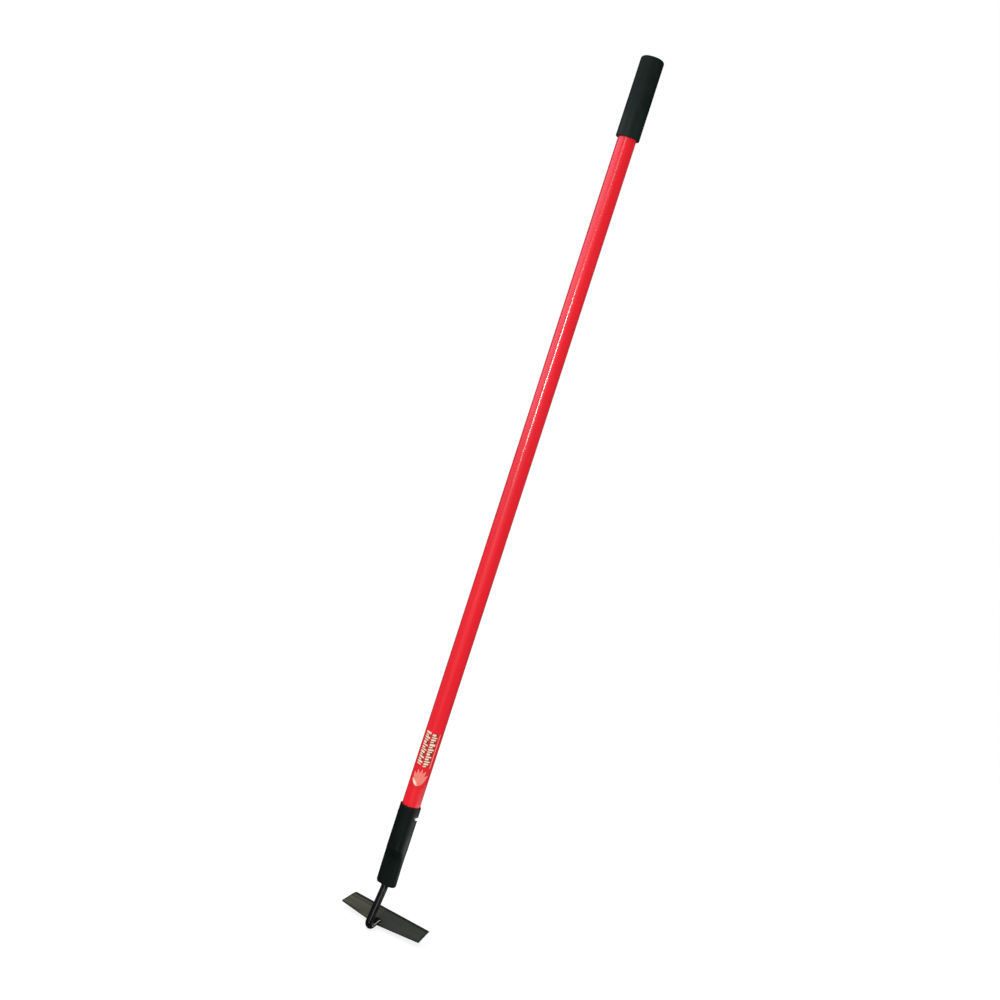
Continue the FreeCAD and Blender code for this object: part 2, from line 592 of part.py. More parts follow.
def make_bead(doc, name, side, shank, blade):
    """Weld bead along one side of the rod, filling the corner between the rod and the blade."""
    body = new_body(doc, name + "_blank")
    profile = new_sketch(body, name + "_profile")
    bind(
        profile,
        AttachmentOffset__Base__x=f"{side} * Sizes.bead_side",
        AttachmentOffset__Base__z=size("bead_lift"),
    )
    radius = value_of(doc, size("bead_radius"))
    first = value_of(doc, BEAD_FIRST)
    last = value_of(doc, BEAD_LAST)
    up = Vector(0, 0, 1)
    quarter = math.pi / 2
    profile.addGeometry(Part.LineSegment(Vector(0, first - radius, 0), Vector(0, last + radius, 0)))
    profile.addGeometry(Part.ArcOfCircle(Part.Circle(Vector(0, last, 0), up, radius), 0, quarter))
    profile.addGeometry(Part.LineSegment(Vector(radius, last, 0), Vector(radius, first, 0)))
    profile.addGeometry(Part.ArcOfCircle(Part.Circle(Vector(0, first, 0), up, radius), -quarter, 0))
    constrain(profile, "Coincident", 0, END, 1, END)
    constrain(profile, "Tangent", 1, START, 2, START)
    constrain(profile, "Tangent", 2, END, 3, END)
    constrain(profile, "Coincident", 3, START, 0, START)
    constrain(profile, "PointOnObject", 0, START, V_AXIS)
    constrain(profile, "PointOnObject", 0, END, V_AXIS)
    constrain(profile, "PointOnObject", 1, CENTRE, V_AXIS)
    constrain(profile, "PointOnObject", 3, CENTRE, V_AXIS)
    constrain(profile, "Radius", 1, expression=size("bead_radius"))
    constrain(profile, "DistanceY", *ORIGIN_POINT, 3, CENTRE, expression=BEAD_FIRST)
    constrain(profile, "DistanceY", *ORIGIN_POINT, 1, CENTRE, expression=BEAD_LAST)
    bar = add_feature(body, "Revolution", name + "_bar", profile, Angle=360.0)
    bar.ReferenceAxis = (profile, ["V_Axis"])
    place_on_blade(body)
    off_blade = doc.addObject("Part::Cut", name + "_off_blade")
    off_blade.Base = body
    off_blade.Tool = blade
    bead = doc.addObject("Part::Cut", name)
    bead.Base = off_blade
    bead.Tool = shank
    bead.Label = name
    return bead


def make_label(doc):
    """Thin film wrapped round the handle above the ferrule."""
    inner = f"({HANDLE_R} + Sizes.label_gap)"
    low = f"({MOUTH_Z} + Sizes.label_above)"
    sector = doc.addObject("Part::Cylinder", "label_sector")
    bind(sector, Radius=f"{inner} + Sizes.label_thick")
    bind(sector, Height=size("label_length"), Angle=size("label_wrap"))
    handle = doc.addObject("Part::Cylinder", "label_inside")
    bind(handle, Radius=inner, Height="2 * Sizes.label_length")
    bind(handle, Placement__Base__z=f"{low} - Sizes.label_length / 2")
    sector.Placement = Placement(Vector(0, 0, 0), Rotation(Vector(0, 0, 1), 1))
    bind(
        sector,
        Placement__Base__z=low,
        Placement__Rotation__Angle="Sizes.label_facing - 90 - Sizes.label_wrap / 2",
    )
    label = doc.addObject("Part::Cut", "label")
    label.Base = sector
    label.Tool = handle
    label.Label = "label"
    return label


def check(doc, pieces):
    """Stop when a feature failed or a piece is not one closed, valid solid."""
    failed = [item.Name for item in doc.Objects if {"Invalid", "Error"} & set(item.State)]
    if failed:
        raise RuntimeError("failed features: " + ", ".join(failed))
    for piece in pieces:
        shape = piece.Shape
        if shape.isNull() or not shape.isValid() or len(shape.Solids) != 1 or shape.Volume <= 0:
            raise RuntimeError(f"{piece.Label} is not one valid solid")


def main():
    """Build every piece, check them all, and write one STEP file each."""
    doc = FreeCAD.newDocument("hoe")
    fill_sheet(doc)
    pieces = make_handle(doc)
    pieces.append(make_end_plug(doc))
    pieces.append(make_grip(doc))
    pieces.append(make_ferrule(doc))
    pieces.append(make_ring_weld(doc))
    pieces.append(make_rivet(doc))
    blade = make_blade(doc)
    shank = make_shank(doc, blade)
    pieces += [blade, shank]
    for name, side in (("blade_weld_right", 1), ("blade_weld_left", -1)):
        pieces.append(make_bead(doc, name, side, shank, blade))
    pieces.append(make_label(doc))
    doc.recompute()
    check(doc, pieces)
    os.makedirs("parts", exist_ok=True)
    for piece in pieces:
        piece.Shape.exportStep(f"parts/{piece.Label}.step")
        box = piece.Shape.BoundBox
        print(f"{piece.Label:20s} {piece.Shape.Volume:12.1f} mm3  z {box.ZMin:8.2f} to {box.ZMax:8.2f}")


main()
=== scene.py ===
"""Looks of a long-handled hoe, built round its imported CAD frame.

Metres.  +Z runs up the handle to the grip, +X along the blade, +Y from the shank to the cutting edge.
"""
import logging
import math
from dataclasses import dataclass, field
from enum import Enum
from typing import Callable, Sequence, Union

import bmesh
import bpy
from mathutils import Matrix, Vector, noise


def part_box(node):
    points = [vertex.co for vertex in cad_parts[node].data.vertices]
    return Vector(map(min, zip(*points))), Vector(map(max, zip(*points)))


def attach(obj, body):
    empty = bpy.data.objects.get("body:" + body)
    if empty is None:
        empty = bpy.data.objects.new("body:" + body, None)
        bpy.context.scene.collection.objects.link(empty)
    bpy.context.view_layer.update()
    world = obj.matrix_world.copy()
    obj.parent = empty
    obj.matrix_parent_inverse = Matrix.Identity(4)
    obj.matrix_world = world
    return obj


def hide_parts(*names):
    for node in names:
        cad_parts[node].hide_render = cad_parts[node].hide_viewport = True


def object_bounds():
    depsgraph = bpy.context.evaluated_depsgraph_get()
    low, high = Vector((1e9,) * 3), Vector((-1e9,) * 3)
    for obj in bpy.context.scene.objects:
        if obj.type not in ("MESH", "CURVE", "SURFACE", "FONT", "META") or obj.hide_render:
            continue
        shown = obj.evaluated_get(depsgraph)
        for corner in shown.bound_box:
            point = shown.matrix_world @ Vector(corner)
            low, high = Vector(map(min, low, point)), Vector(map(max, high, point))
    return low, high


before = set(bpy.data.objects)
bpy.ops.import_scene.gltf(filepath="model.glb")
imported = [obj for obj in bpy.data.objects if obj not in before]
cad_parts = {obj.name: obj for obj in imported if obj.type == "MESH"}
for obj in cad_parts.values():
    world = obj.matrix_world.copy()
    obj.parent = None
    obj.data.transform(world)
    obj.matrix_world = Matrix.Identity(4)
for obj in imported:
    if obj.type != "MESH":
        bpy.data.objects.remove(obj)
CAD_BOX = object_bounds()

MM = 0.001
ROOT = "root"
FULL_TURN = 2 * math.pi
SHARP_ANGLE = math.radians(32)
JOIN_DISTANCE = 1e-7

Ring = list[Vector]
Triple = tuple[float, float, float]
Span = tuple[float, float]
# Linear red, green and blue
Colour = Triple
# Patches per metre along X, Y and Z
Pitch = Triple
Feed = Union[float, Colour, bpy.types.NodeSocket]

log = logging.getLogger("hoe")


# Small sums


def paint(red: int, green: int, blue: int) -> Colour:
    """Turn a colour as a paint chart prints it into linear light.

    Args:
        red: Red share, 0 to 255.
        green: Green share, 0 to 255.
        blue: Blue share, 0 to 255.

    Returns:
        The linear colour.
    """
    def linear(value: float) -> float:
        """Linear light of one share."""
        return value / 12.92 if value <= 0.04045 else ((value + 0.055) / 1.055) ** 2.4

    return linear(red / 255), linear(green / 255), linear(blue / 255)


def ease(share: float) -> float:
    """Smooth step from 0 to 1, flat at both ends."""
    share = min(1.0, max(0.0, share))
    return share * share * (3 - 2 * share)


def spread(first: float, last: float, count: int) -> list[float]:
    """Evenly spaced values.

    Args:
        first: First value.
        last: Last value.
        count: Number of steps between them.

    Returns:
        count + 1 values, both ends included.
    """
    return [first + (last - first) * step / count for step in range(count + 1)]


def circle_point(share: float, radius: float) -> Vector:
    """Point on a circle in the XY plane, a share of a turn round from +X."""
    return Vector((radius * math.cos(FULL_TURN * share), radius * math.sin(FULL_TURN * share), 0.0))


def obround_point(share: float, width: float, thick: float) -> Vector:
    """Point on a flat oval: two straight faces joined by half circles.

    Args:
        share: Share of the outline's length, counted from +X.
        width: Whole width along X.
        thick: Whole thickness along Y.

    Returns:
        The point, at level 0.
    """
    radius = thick / 2
    reach = width / 2 - radius
    quarter = math.pi * radius / 2
    travel = share * (4 * quarter + 4 * reach)
    if travel <= quarter:
        angle = travel / radius
        return Vector((reach + radius * math.cos(angle), radius * math.sin(angle), 0.0))
    travel -= quarter
    if travel <= 2 * reach:
        return Vector((reach - travel, radius, 0.0))
    travel -= 2 * reach
    if travel <= 2 * quarter:
        angle = math.pi / 2 + travel / radius
        return Vector((radius * math.cos(angle) - reach, radius * math.sin(angle), 0.0))
    travel -= 2 * quarter
    if travel <= 2 * reach:
        return Vector((travel - reach, -radius, 0.0))
    angle = 3 * math.pi / 2 + (travel - 2 * reach) / radius
    return Vector((reach + radius * math.cos(angle), radius * math.sin(angle), 0.0))


# Meshes


class Ends(Enum):
    """How the first and last ring of a skin are closed."""

    LOOP = "the last ring joins the first"
    CAPPED = "a fan of faces closes each end"


class Skin:
    """Mesh in the making: rings of points, each joined to the next by quads."""

    def __init__(self, name: str) -> None:
        """Start an empty mesh for the piece of this name."""
        self.name = name
        self.mesh = bmesh.new()

    def wrap(self, rings: Sequence[Ring], ends: Ends) -> None:
        """Join rings into one closed surface.

        Args:
            rings: Rings with the same number of points, in order.
            ends: How the two ends are closed.
        """
        rows = [[self.mesh.verts.new(point) for point in ring] for ring in rings]
        pairs = list(zip(rows, rows[1:]))
        if ends is Ends.LOOP:
            pairs.append((rows[-1], rows[0]))
        for lower, upper in pairs:
            for step in range(len(lower)):
                after = (step + 1) % len(lower)
                self.mesh.faces.new((lower[step], lower[after], upper[after], upper[step]))
        if ends is Ends.CAPPED:
            self.cap(rows[0])
            self.cap(rows[-1])

    def cap(self, row: Sequence[bmesh.types.BMVert]) -> None:
        """Close one ring with a fan round its middle.

        Args:
            row: The ring's vertices.
        """
        middle = self.mesh.verts.new(sum((vert.co for vert in row), Vector()) / len(row))
        for step in range(len(row)):
            self.mesh.faces.new((row[step], row[(step + 1) % len(row)], middle))

    def ease_edges(self, width: float, steps: int, least_turn: float) -> None:
        """Round every edge that turns sharply.

        Args:
            width: Width of the rounding.
            steps: Number of faces across it.
            least_turn: Smallest angle between two faces that counts as sharp, in radians.
        """
        bmesh.ops.recalc_face_normals(self.mesh, faces=self.mesh.faces)
        sharp = [edge for edge in self.mesh.edges if edge.calc_face_angle(0.0) > least_turn]
        bmesh.ops.bevel(
            self.mesh,
            geom=sharp,
            offset=width,
            segments=steps,
            affect="EDGES",
            profile=0.5,
            clamp_overlap=True,
        )

    def piece(self, finish: "Finish", slot: str, *nodes: str) -> bpy.types.Object:
        """Turn the mesh into a piece that stands for CAD nodes.

        Args:
            finish: What the piece is dressed in.
            slot: The record's material slot; not used.
            *nodes: CAD nodes that the piece stands for.

        Returns:
            The finished piece, riding on the hoe.
        """
        bmesh.ops.remove_doubles(self.mesh, verts=self.mesh.verts, dist=JOIN_DISTANCE)
        bmesh.ops.recalc_face_normals(self.mesh, faces=self.mesh.faces)
        data = bpy.data.meshes.new(self.name)
        self.mesh.to_mesh(data)
        self.mesh.free()
        data.shade_smooth()
        data.set_sharp_from_angle(angle=SHARP_ANGLE)
        data.materials.append(finish.material())
        made = bpy.data.objects.new(self.name, data)
        bpy.context.scene.collection.objects.link(made)
        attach(made, ROOT)
        if nodes:
            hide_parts(*nodes)
        log.info("%s: %d faces, %s", self.name, len(data.polygons), finish.name)
        return made


def dress_node(node: str, finish: "Finish") -> None:
    """Give a CAD node that keeps its own mesh a finish.

    Args:
        node: The CAD node.
        finish: What it is dressed in.
    """
    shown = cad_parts[node]
    shown.data.materials.clear()
    shown.data.materials.append(finish.material())
    log.info("%s: CAD mesh, %s", node, finish.name)


# Finishes


class NodeSheet:
    """Node tree of one material, with short methods for what the finishes share."""

    def __init__(self, name: str) -> None:
        """Start a material with a bare shader joined to its output.

        Args:
            name: Name of the material.
        """
        self.material = bpy.data.materials.new(name)
        self.material.use_nodes = True
        self.tree = self.material.node_tree
        self.tree.nodes.clear()
        self.shader = self.tree.nodes.new("ShaderNodeBsdfPrincipled")
        output = self.tree.nodes.new("ShaderNodeOutputMaterial")
        self.tree.links.new(self.shader.outputs["BSDF"], output.inputs["Surface"])
        self.place = self.tree.nodes.new("ShaderNodeTexCoord").outputs["Object"]

    def feed(self, target: bpy.types.NodeSocket, value: Feed) -> None:
        """Set a socket to a number or a colour, or link it.

        Args:
            target: The socket.
            value: The number, colour or output that it takes.
        """
        if isinstance(value, bpy.types.NodeSocket):
            self.tree.links.new(value, target)
        elif isinstance(value, tuple) and target.type == "RGBA":
            target.default_value = (*value, 1.0)
        else:
            target.default_value = value

    def shade(self, **values: Feed) -> None:
        """Set sockets of the shader; an underscore in a name stands for a space.

        Args:
            **values: What each socket takes.
        """
        for name, value in values.items():
            self.feed(self.shader.inputs[name.replace("_", " ")], value)

    def scaled(self, pitch: Pitch) -> bpy.types.NodeSocket:
        """Give each place on the surface, stretched to a pitch.

        Args:
            pitch: Patches per metre along each axis.

        Returns:
            The stretched place.
        """
        mapping = self.tree.nodes.new("ShaderNodeMapping")
        mapping.inputs["Scale"].default_value = pitch
        self.feed(mapping.inputs["Vector"], self.place)
        return mapping.outputs["Vector"]

    def grain(self, pitch: Pitch, detail: float = 3.0, rough: float = 0.5) -> bpy.types.NodeSocket:
        """Cloudy noise with its own pitch along X, Y and Z.

        Args:
            pitch: Patches per metre along each axis.
            detail: Number of finer layers.
            rough: Strength of the finer layers.

        Returns:
            The noise, about 0.5 on average.
        """
        texture = self.tree.nodes.new("ShaderNodeTexNoise")
        self.feed(texture.inputs["Vector"], self.scaled(pitch))
        texture.inputs["Scale"].default_value = 1.0
        texture.inputs["Detail"].default_value = detail
        texture.inputs["Roughness"].default_value = rough
        return texture.outputs["Fac"]

    def cells(self, pitch: Pitch) -> bpy.types.NodeSocket:
        """Small round cells scattered over the surface.

        Args:
            pitch: Cells per metre along each axis.

        Returns:
            The distance to the nearest cell's middle.
        """
        texture = self.tree.nodes.new("ShaderNodeTexVoronoi")
        self.feed(texture.inputs["Vector"], self.scaled(pitch))
        texture.inputs["Scale"].default_value = 1.0
        return texture.outputs["Distance"]

    def along(self, axis: str) -> bpy.types.NodeSocket:
        """One coordinate of the surface, in metres.

        Args:
            axis: X, Y or Z.

        Returns:
            The coordinate.
        """
        parts = self.tree.nodes.new("ShaderNodeSeparateXYZ")
        self.feed(parts.inputs["Vector"], self.place)
        return parts.outputs[axis]

    def span(
        self, value: Feed, low: float, high: float, first: float = 0.0, last: float = 1.0
    ) -> bpy.types.NodeSocket:
        """Smooth change from one number to another while a value crosses a span.

        Args:
            value: The value that is read.
            low: Value at the span's start.
            high: Value at its end.
            first: Number given at the start.
            last: Number given at the end.

        Returns:
            The number.
        """
        step = self.tree.nodes.new("ShaderNodeMapRange")
        step.interpolation_type = "SMOOTHSTEP"
        self.feed(step.inputs["Value"], value)
        step.inputs["From Min"].default_value = low
        step.inputs["From Max"].default_value = high
        step.inputs["To Min"].default_value = first
        step.inputs["To Max"].default_value = last
        return step.outputs["Result"]

    def sum(self, kind: str, first: Feed, second: Feed = 0.0) -> bpy.types.NodeSocket:
        """Work out one sum on two numbers.

        Args:
            kind: The sum, by the Math node's own name for it.
            first: First number.
            second: Second number, where the sum takes two.

        Returns:
            The result.
        """
        step = self.tree.nodes.new("ShaderNodeMath")
        step.operation = kind
        self.feed(step.inputs[0], first)
        self.feed(step.inputs[1], second)
        return step.outputs["Value"]

    def lay(self, share: Feed, under: Feed, over: Feed) -> bpy.types.NodeSocket:
        """Lay one colour over another.

        Args:
            share: How much of the upper colour shows.
            under: Lower colour.
            over: Upper colour.

        Returns:
            The mixed colour.
        """
        step = self.tree.nodes.new("ShaderNodeMix")
        step.data_type = "RGBA"
        self.feed(step.inputs["Factor"], share)
        first, second = [socket for socket in step.inputs if socket.type == "RGBA"]
        self.feed(first, under)
        self.feed(second, over)
        return next(socket for socket in step.outputs if socket.type == "RGBA")

    def relief(self, height: Feed, depth: float, strength: float = 1.0) -> None:
        """Add fine relief under whatever relief the shader has already.

        Args:
            height: Height, 0 to 1.
            depth: Metres between heights 0 and 1.
            strength: How much of it shows.
        """
        step = self.tree.nodes.new("ShaderNodeBump")
        step.inputs["Strength"].default_value = strength
        step.inputs["Distance"].default_value = depth
        self.feed(step.inputs["Height"], height)
        links = self.shader.inputs["Normal"].links
        if links:
            self.feed(step.inputs["Normal"], links[0].from_socket)
        self.feed(self.shader.inputs["Normal"], step.outputs["Normal"])


@dataclass(frozen=True)
class Finish:
    """A finish has a name and makes its material the first time it is asked for."""

    name: str

    def material(self) -> bpy.types.Material:
        """The finish's material."""
        return bpy.data.materials.get(self.name) or self.make()

    def make(self) -> bpy.types.Material:
        """Build the material's nodes; each finish has its own."""
        raise NotImplementedError(self.name)


@dataclass(frozen=True)
class Fibreglass(Finish):
    """Pultruded fibreglass: glass bundles run lengthwise under a smooth resin skin."""

    resin: Colour = paint(238, 18, 37)
    deep: Colour = paint(214, 12, 30)
    pale: Colour = paint(241, 30, 50)
    roughness: float = 0.36
    coat: float = 0.7
    coat_roughness: float = 0.13
    fibres: Pitch = (1400, 1400, 6)
    bundles: Pitch = (230, 230, 2.4)
    drift: Pitch = (30, 30, 4.5)
    veil: Pitch = (420, 420, 40)

    def make(self) -> bpy.types.Material:
        """Fine fibres, wider bundles, a slow drift of tone and a faint veil in the skin.

        Returns:
            The material.
        """
        sheet = NodeSheet(self.name)
        fibres = sheet.grain(self.fibres, detail=4.0)
        bundles = sheet.grain(self.bundles, detail=2.0)
        drift = sheet.grain(self.drift, detail=2.0)
        colour = sheet.lay(sheet.span(fibres, 0.4, 0.72, 0.0, 0.55), self.resin, self.deep)
        colour = sheet.lay(sheet.span(bundles, 0.5, 0.75, 0.0, 0.4), colour, self.pale)
        colour = sheet.lay(sheet.span(drift, 0.35, 0.7, 0.0, 0.35), colour, self.deep)
        roughness = sheet.span(bundles, 0.3, 0.7, self.roughness - 0.05, self.roughness + 0.06)
        sheet.shade(Base_Color=colour, Roughness=roughness, IOR=1.5, Specular_IOR_Level=0.22)
        sheet.shade(Coat_Weight=self.coat, Coat_Roughness=self.coat_roughness)
        sheet.relief(fibres, 0.000004, 0.06)
        sheet.relief(sheet.grain(self.veil, detail=1.0), 0.000005, 0.06)
        return sheet.material


@dataclass(frozen=True)
class PowderCoat(Finish):
    """Satin powder coat on pressed tube: fine orange peel, a painted red reflection of the handle along the
    mouth, and rubbed wear at the foot.
    """

    coat: Colour = paint(11, 20, 17)
    haze: Colour = paint(17, 26, 22)
    # Reddish colour of the painted reflection of the handle at the mouth, also used for the rubbed wear at
    # the foot.
    red_reflection_and_wear: Colour = paint(72, 18, 20)
    roughness: float = 0.42
    mouth: float = 0.0
    foot: float = 0.0
    mouth_reflection: Span = (3.6 * MM, 0.4 * MM)
    foot_wear: Span = (2.2 * MM, 0.2 * MM)
    peel: Pitch = (640, 640, 640)
    nibs: Pitch = (260, 260, 260)
    cloud: Pitch = (42, 42, 30)
    scuff: Pitch = (90, 90, 420)

    def make(self) -> bpy.types.Material:
        """Orange peel and dust nibs, a painted red reflection of the handle along the mouth, and rubbed wear
        at the foot.

        Returns:
            The material.
        """
        sheet = NodeSheet(self.name)
        peel = sheet.grain(self.peel, detail=2.0)
        nibs = sheet.cells(self.nibs)
        cloud = sheet.grain(self.cloud, detail=3.0)
        level = sheet.along("Z")
        # Painted reflection: a band of the handle's red reflected in the coat just below the mouth, made
        # patchy by the scuff noise.
        rim = sheet.span(level, self.mouth - self.mouth_reflection[0], self.mouth - self.mouth_reflection[1])
        scuff = sheet.span(sheet.grain(self.scuff, detail=5.0, rough=0.7), 0.55, 0.75)
        red_reflection_and_wear = sheet.sum("MULTIPLY", rim, sheet.sum("ADD", sheet.sum("MULTIPLY", scuff, 0.4), 0.4))
        foot = sheet.span(level, self.foot + self.foot_wear[0], self.foot + self.foot_wear[1])
        red_reflection_and_wear = sheet.sum("MAXIMUM", red_reflection_and_wear, sheet.sum("MULTIPLY", foot, sheet.sum("MULTIPLY", scuff, 0.6)))
        tone = sheet.lay(sheet.span(cloud, 0.35, 0.7, 0.0, 0.5), self.coat, self.haze)
        colour = sheet.lay(red_reflection_and_wear, tone, self.red_reflection_and_wear)
        roughness = sheet.span(cloud, 0.3, 0.7, self.roughness - 0.07, self.roughness + 0.08)
        sheet.shade(Base_Color=colour, Roughness=roughness, IOR=1.45, Specular_IOR_Level=0.09)
        sheet.relief(peel, 0.0002, 0.45)
        sheet.relief(sheet.span(nibs, 0.0, 0.22, 1.0, 0.0), 0.00012, 0.3)
        return sheet.material


@dataclass(frozen=True)
class GlossEnamel(Finish):
    """Gloss black enamel over hot-rolled rod."""

    coat: Colour = paint(7, 8, 7)
    dusty: Colour = paint(26, 28, 25)
    roughness: float = 0.2
    waves: Pitch = (150, 150, 24)
    scale: Pitch = (900, 900, 700)
    dust: Pitch = (60, 60, 60)

    def make(self) -> bpy.types.Material:
        """Long waves of the rolled bar, fine scale under the paint and a soft dust.

        Returns:
            The material.
        """
        sheet = NodeSheet(self.name)
        waves = sheet.grain(self.waves, detail=3.0)
        scale = sheet.grain(self.scale, detail=4.0, rough=0.6)
        dust = sheet.span(sheet.grain(self.dust, detail=5.0), 0.5, 0.8, 0.0, 0.25)
        sheet.shade(Base_Color=sheet.lay(dust, self.coat, self.dusty))
        sheet.shade(Roughness=sheet.span(dust, 0.0, 0.35, self.roughness, self.roughness + 0.16))
        sheet.shade(IOR=1.5, Coat_Weight=0.2, Coat_Roughness=0.16)
        sheet.relief(waves, 0.0002, 0.3)
        sheet.relief(scale, 0.00004, 0.3)
        return sheet.material


@dataclass(frozen=True)
class WeldEnamel(Finish):
    """Black enamel pooled over weld metal, with soot and painted glints on a few crests."""

    coat: Colour = paint(30, 36, 31)
    # Light grey-green of the painted glints on the crests.
    crest: Colour = paint(104, 112, 98)
    crests: Pitch = (950, 950, 950)
    pits: Pitch = (1200, 1200, 1200)

    def make(self) -> bpy.types.Material:
        """Pits and crests at the scale of the weld's ripples, with a painted glint lightening the colour on
        the highest crests.

        Returns:
            The material.
        """
        sheet = NodeSheet(self.name)
        crests = sheet.grain(self.crests, detail=4.0, rough=0.6)
        pits = sheet.cells(self.pits)
        # Painted glint: the colour is lightened where the crest noise, which also raises the relief, is
        # highest.
        colour = sheet.lay(sheet.span(crests, 0.58, 0.74, 0.0, 0.6), self.coat, self.crest)
        sheet.shade(Base_Color=colour, Roughness=sheet.span(crests, 0.3, 0.7, 0.2, 0.42), IOR=1.5)
        sheet.relief(crests, 0.0003, 0.45)
        sheet.relief(pits, 0.0001, 0.35)
        return sheet.material


@dataclass(frozen=True)
class BladeEnamel(Finish):
    """Thin grey-green enamel on a rolled plate, streaked along its length.

    The left half is painted lighter and the right half darker, as painted light and painted shade of the two
    halves; the plate's rolling marks show mostly on the left half.
    """

    # Painted light on the left half and painted shade on the right half of one grey-green enamel.
    left: Colour = paint(78, 78, 66)
    right: Colour = paint(57, 61, 55)
    streak: Colour = paint(47, 48, 41)
    bright: Colour = paint(112, 108, 90)
    # Dark colour of the painted shade along the edges and over the bevel; rim is the width of that shade.
    edge: Colour = paint(26, 27, 24)
    half_width: float = 0.085
    back_level: float = 0.011
    back_slope: float = 0.109
    side_level: float = 0.02
    side_slope: float = 0.115
    bevel_start: float = 0.0
    rim: float = 1.7 * MM
    lit_to_shaded: Span = (-0.016, -0.006)
    right_mark_fade: float = 0.94
    edge_shade_share: float = 0.8
    marks: Pitch = (5, 260, 260)
    fine: Pitch = (22, 2400, 2400)
    scratches: Pitch = (16, 900, 900)
    clouds: Pitch = (26, 60, 60)

    def make(self) -> bpy.types.Material:
        """Rolling marks, a few long scratches, and painted shade along the edges and over the ground bevel.

        Returns:
            The material.
        """
        sheet = NodeSheet(self.name)
        marks = sheet.grain(self.marks, detail=3.0)
        fine = sheet.grain(self.fine, detail=3.0)
        scratches = sheet.grain(self.scratches, detail=6.0, rough=0.75)
        clouds = sheet.grain(self.clouds, detail=3.0)
        # Painted light and painted shade: the colour turns from the lighter left half to the darker right
        # half across the middle.
        half = sheet.span(sheet.along("X"), *self.lit_to_shaded)
        base = sheet.lay(half, self.left, self.right)
        shown = sheet.sum("SUBTRACT", 1.0, sheet.sum("MULTIPLY", half, self.right_mark_fade))
        dark = sheet.sum("MULTIPLY", sheet.span(marks, 0.5, 0.64, 0.0, 0.85), shown)
        light = sheet.sum("MULTIPLY", sheet.span(marks, 0.48, 0.34, 0.0, 0.7), shown)
        colour = sheet.lay(dark, base, self.streak)
        colour = sheet.lay(light, colour, self.bright)
        colour = sheet.lay(sheet.span(fine, 0.45, 0.7, 0.0, 0.25), colour, self.streak)
        colour = sheet.lay(sheet.span(scratches, 0.69, 0.73, 0.0, 0.35), colour, self.bright)
        colour = sheet.lay(sheet.span(clouds, 0.4, 0.7, 0.0, 0.3), colour, self.streak)
        # Painted shade: the dark edge colour laid along the edges and over the ground bevel.
        colour = sheet.lay(sheet.sum("MULTIPLY", self.edge_shade(sheet), self.edge_shade_share), colour, self.edge)
        sheet.shade(Base_Color=colour, Roughness=sheet.span(fine, 0.3, 0.7, 0.34, 0.48), IOR=1.45)
        sheet.shade(Specular_IOR_Level=0.35)
        sheet.relief(marks, 0.00012, 0.35)
        sheet.relief(fine, 0.00004, 0.4)
        return sheet.material

    def edge_shade(self, sheet: NodeSheet) -> bpy.types.NodeSocket:
        """Share of painted edge shade: along the bevel, the two sides and the peaked back edge.

        Args:
            sheet: Node tree that the share is worked out in.

        Returns:
            The share, 0 in the middle of the plate.
        """
        from_middle = sheet.sum("ABSOLUTE", sheet.along("X"))
        forward = sheet.along("Y")
        # Painted shade over the ground bevel and a band just before it.
        ground = sheet.span(forward, self.bevel_start - 1 * MM, self.bevel_start + 1 * MM)
        past_corner = sheet.sum("MAXIMUM", sheet.sum("SUBTRACT", forward, self.side_level), 0.0)
        to_side = sheet.sum("ADD", from_middle, sheet.sum("MULTIPLY", past_corner, self.side_slope))
        ends = sheet.span(to_side, self.half_width - 2 * self.rim, self.half_width - 0.6 * self.rim)
        beyond = sheet.sum("SUBTRACT", forward, sheet.sum("MULTIPLY", from_middle, self.back_slope))
        back = sheet.span(beyond, self.back_level + self.rim, self.back_level)
        return sheet.sum("MAXIMUM", ground, sheet.sum("MAXIMUM", ends, back))


@dataclass(frozen=True)
class ZincPlate(Finish):
    """Bright zinc plate on a cold-headed rivet."""

    metal: Colour = (0.86, 0.86, 0.84)
    dull: Colour = (0.66, 0.66, 0.64)
    spangle: Pitch = (700, 700, 700)
    marks: Pitch = (400, 2600, 2600)

    def make(self) -> bpy.types.Material:
        """Slight spangle and tool marks from the heading die.

        Returns:
            The material.
        """
        sheet = NodeSheet(self.name)
        spangle = sheet.cells(self.spangle)
        marks = sheet.grain(self.marks, detail=3.0)
        sheet.shade(Base_Color=sheet.lay(sheet.span(spangle, 0.2, 0.8, 0.0, 0.5), self.metal, self.dull))
        sheet.shade(Metallic=1.0, Roughness=sheet.span(marks, 0.3, 0.7, 0.4, 0.54))
        sheet.relief(marks, 0.00006, 0.3)
        return sheet.material


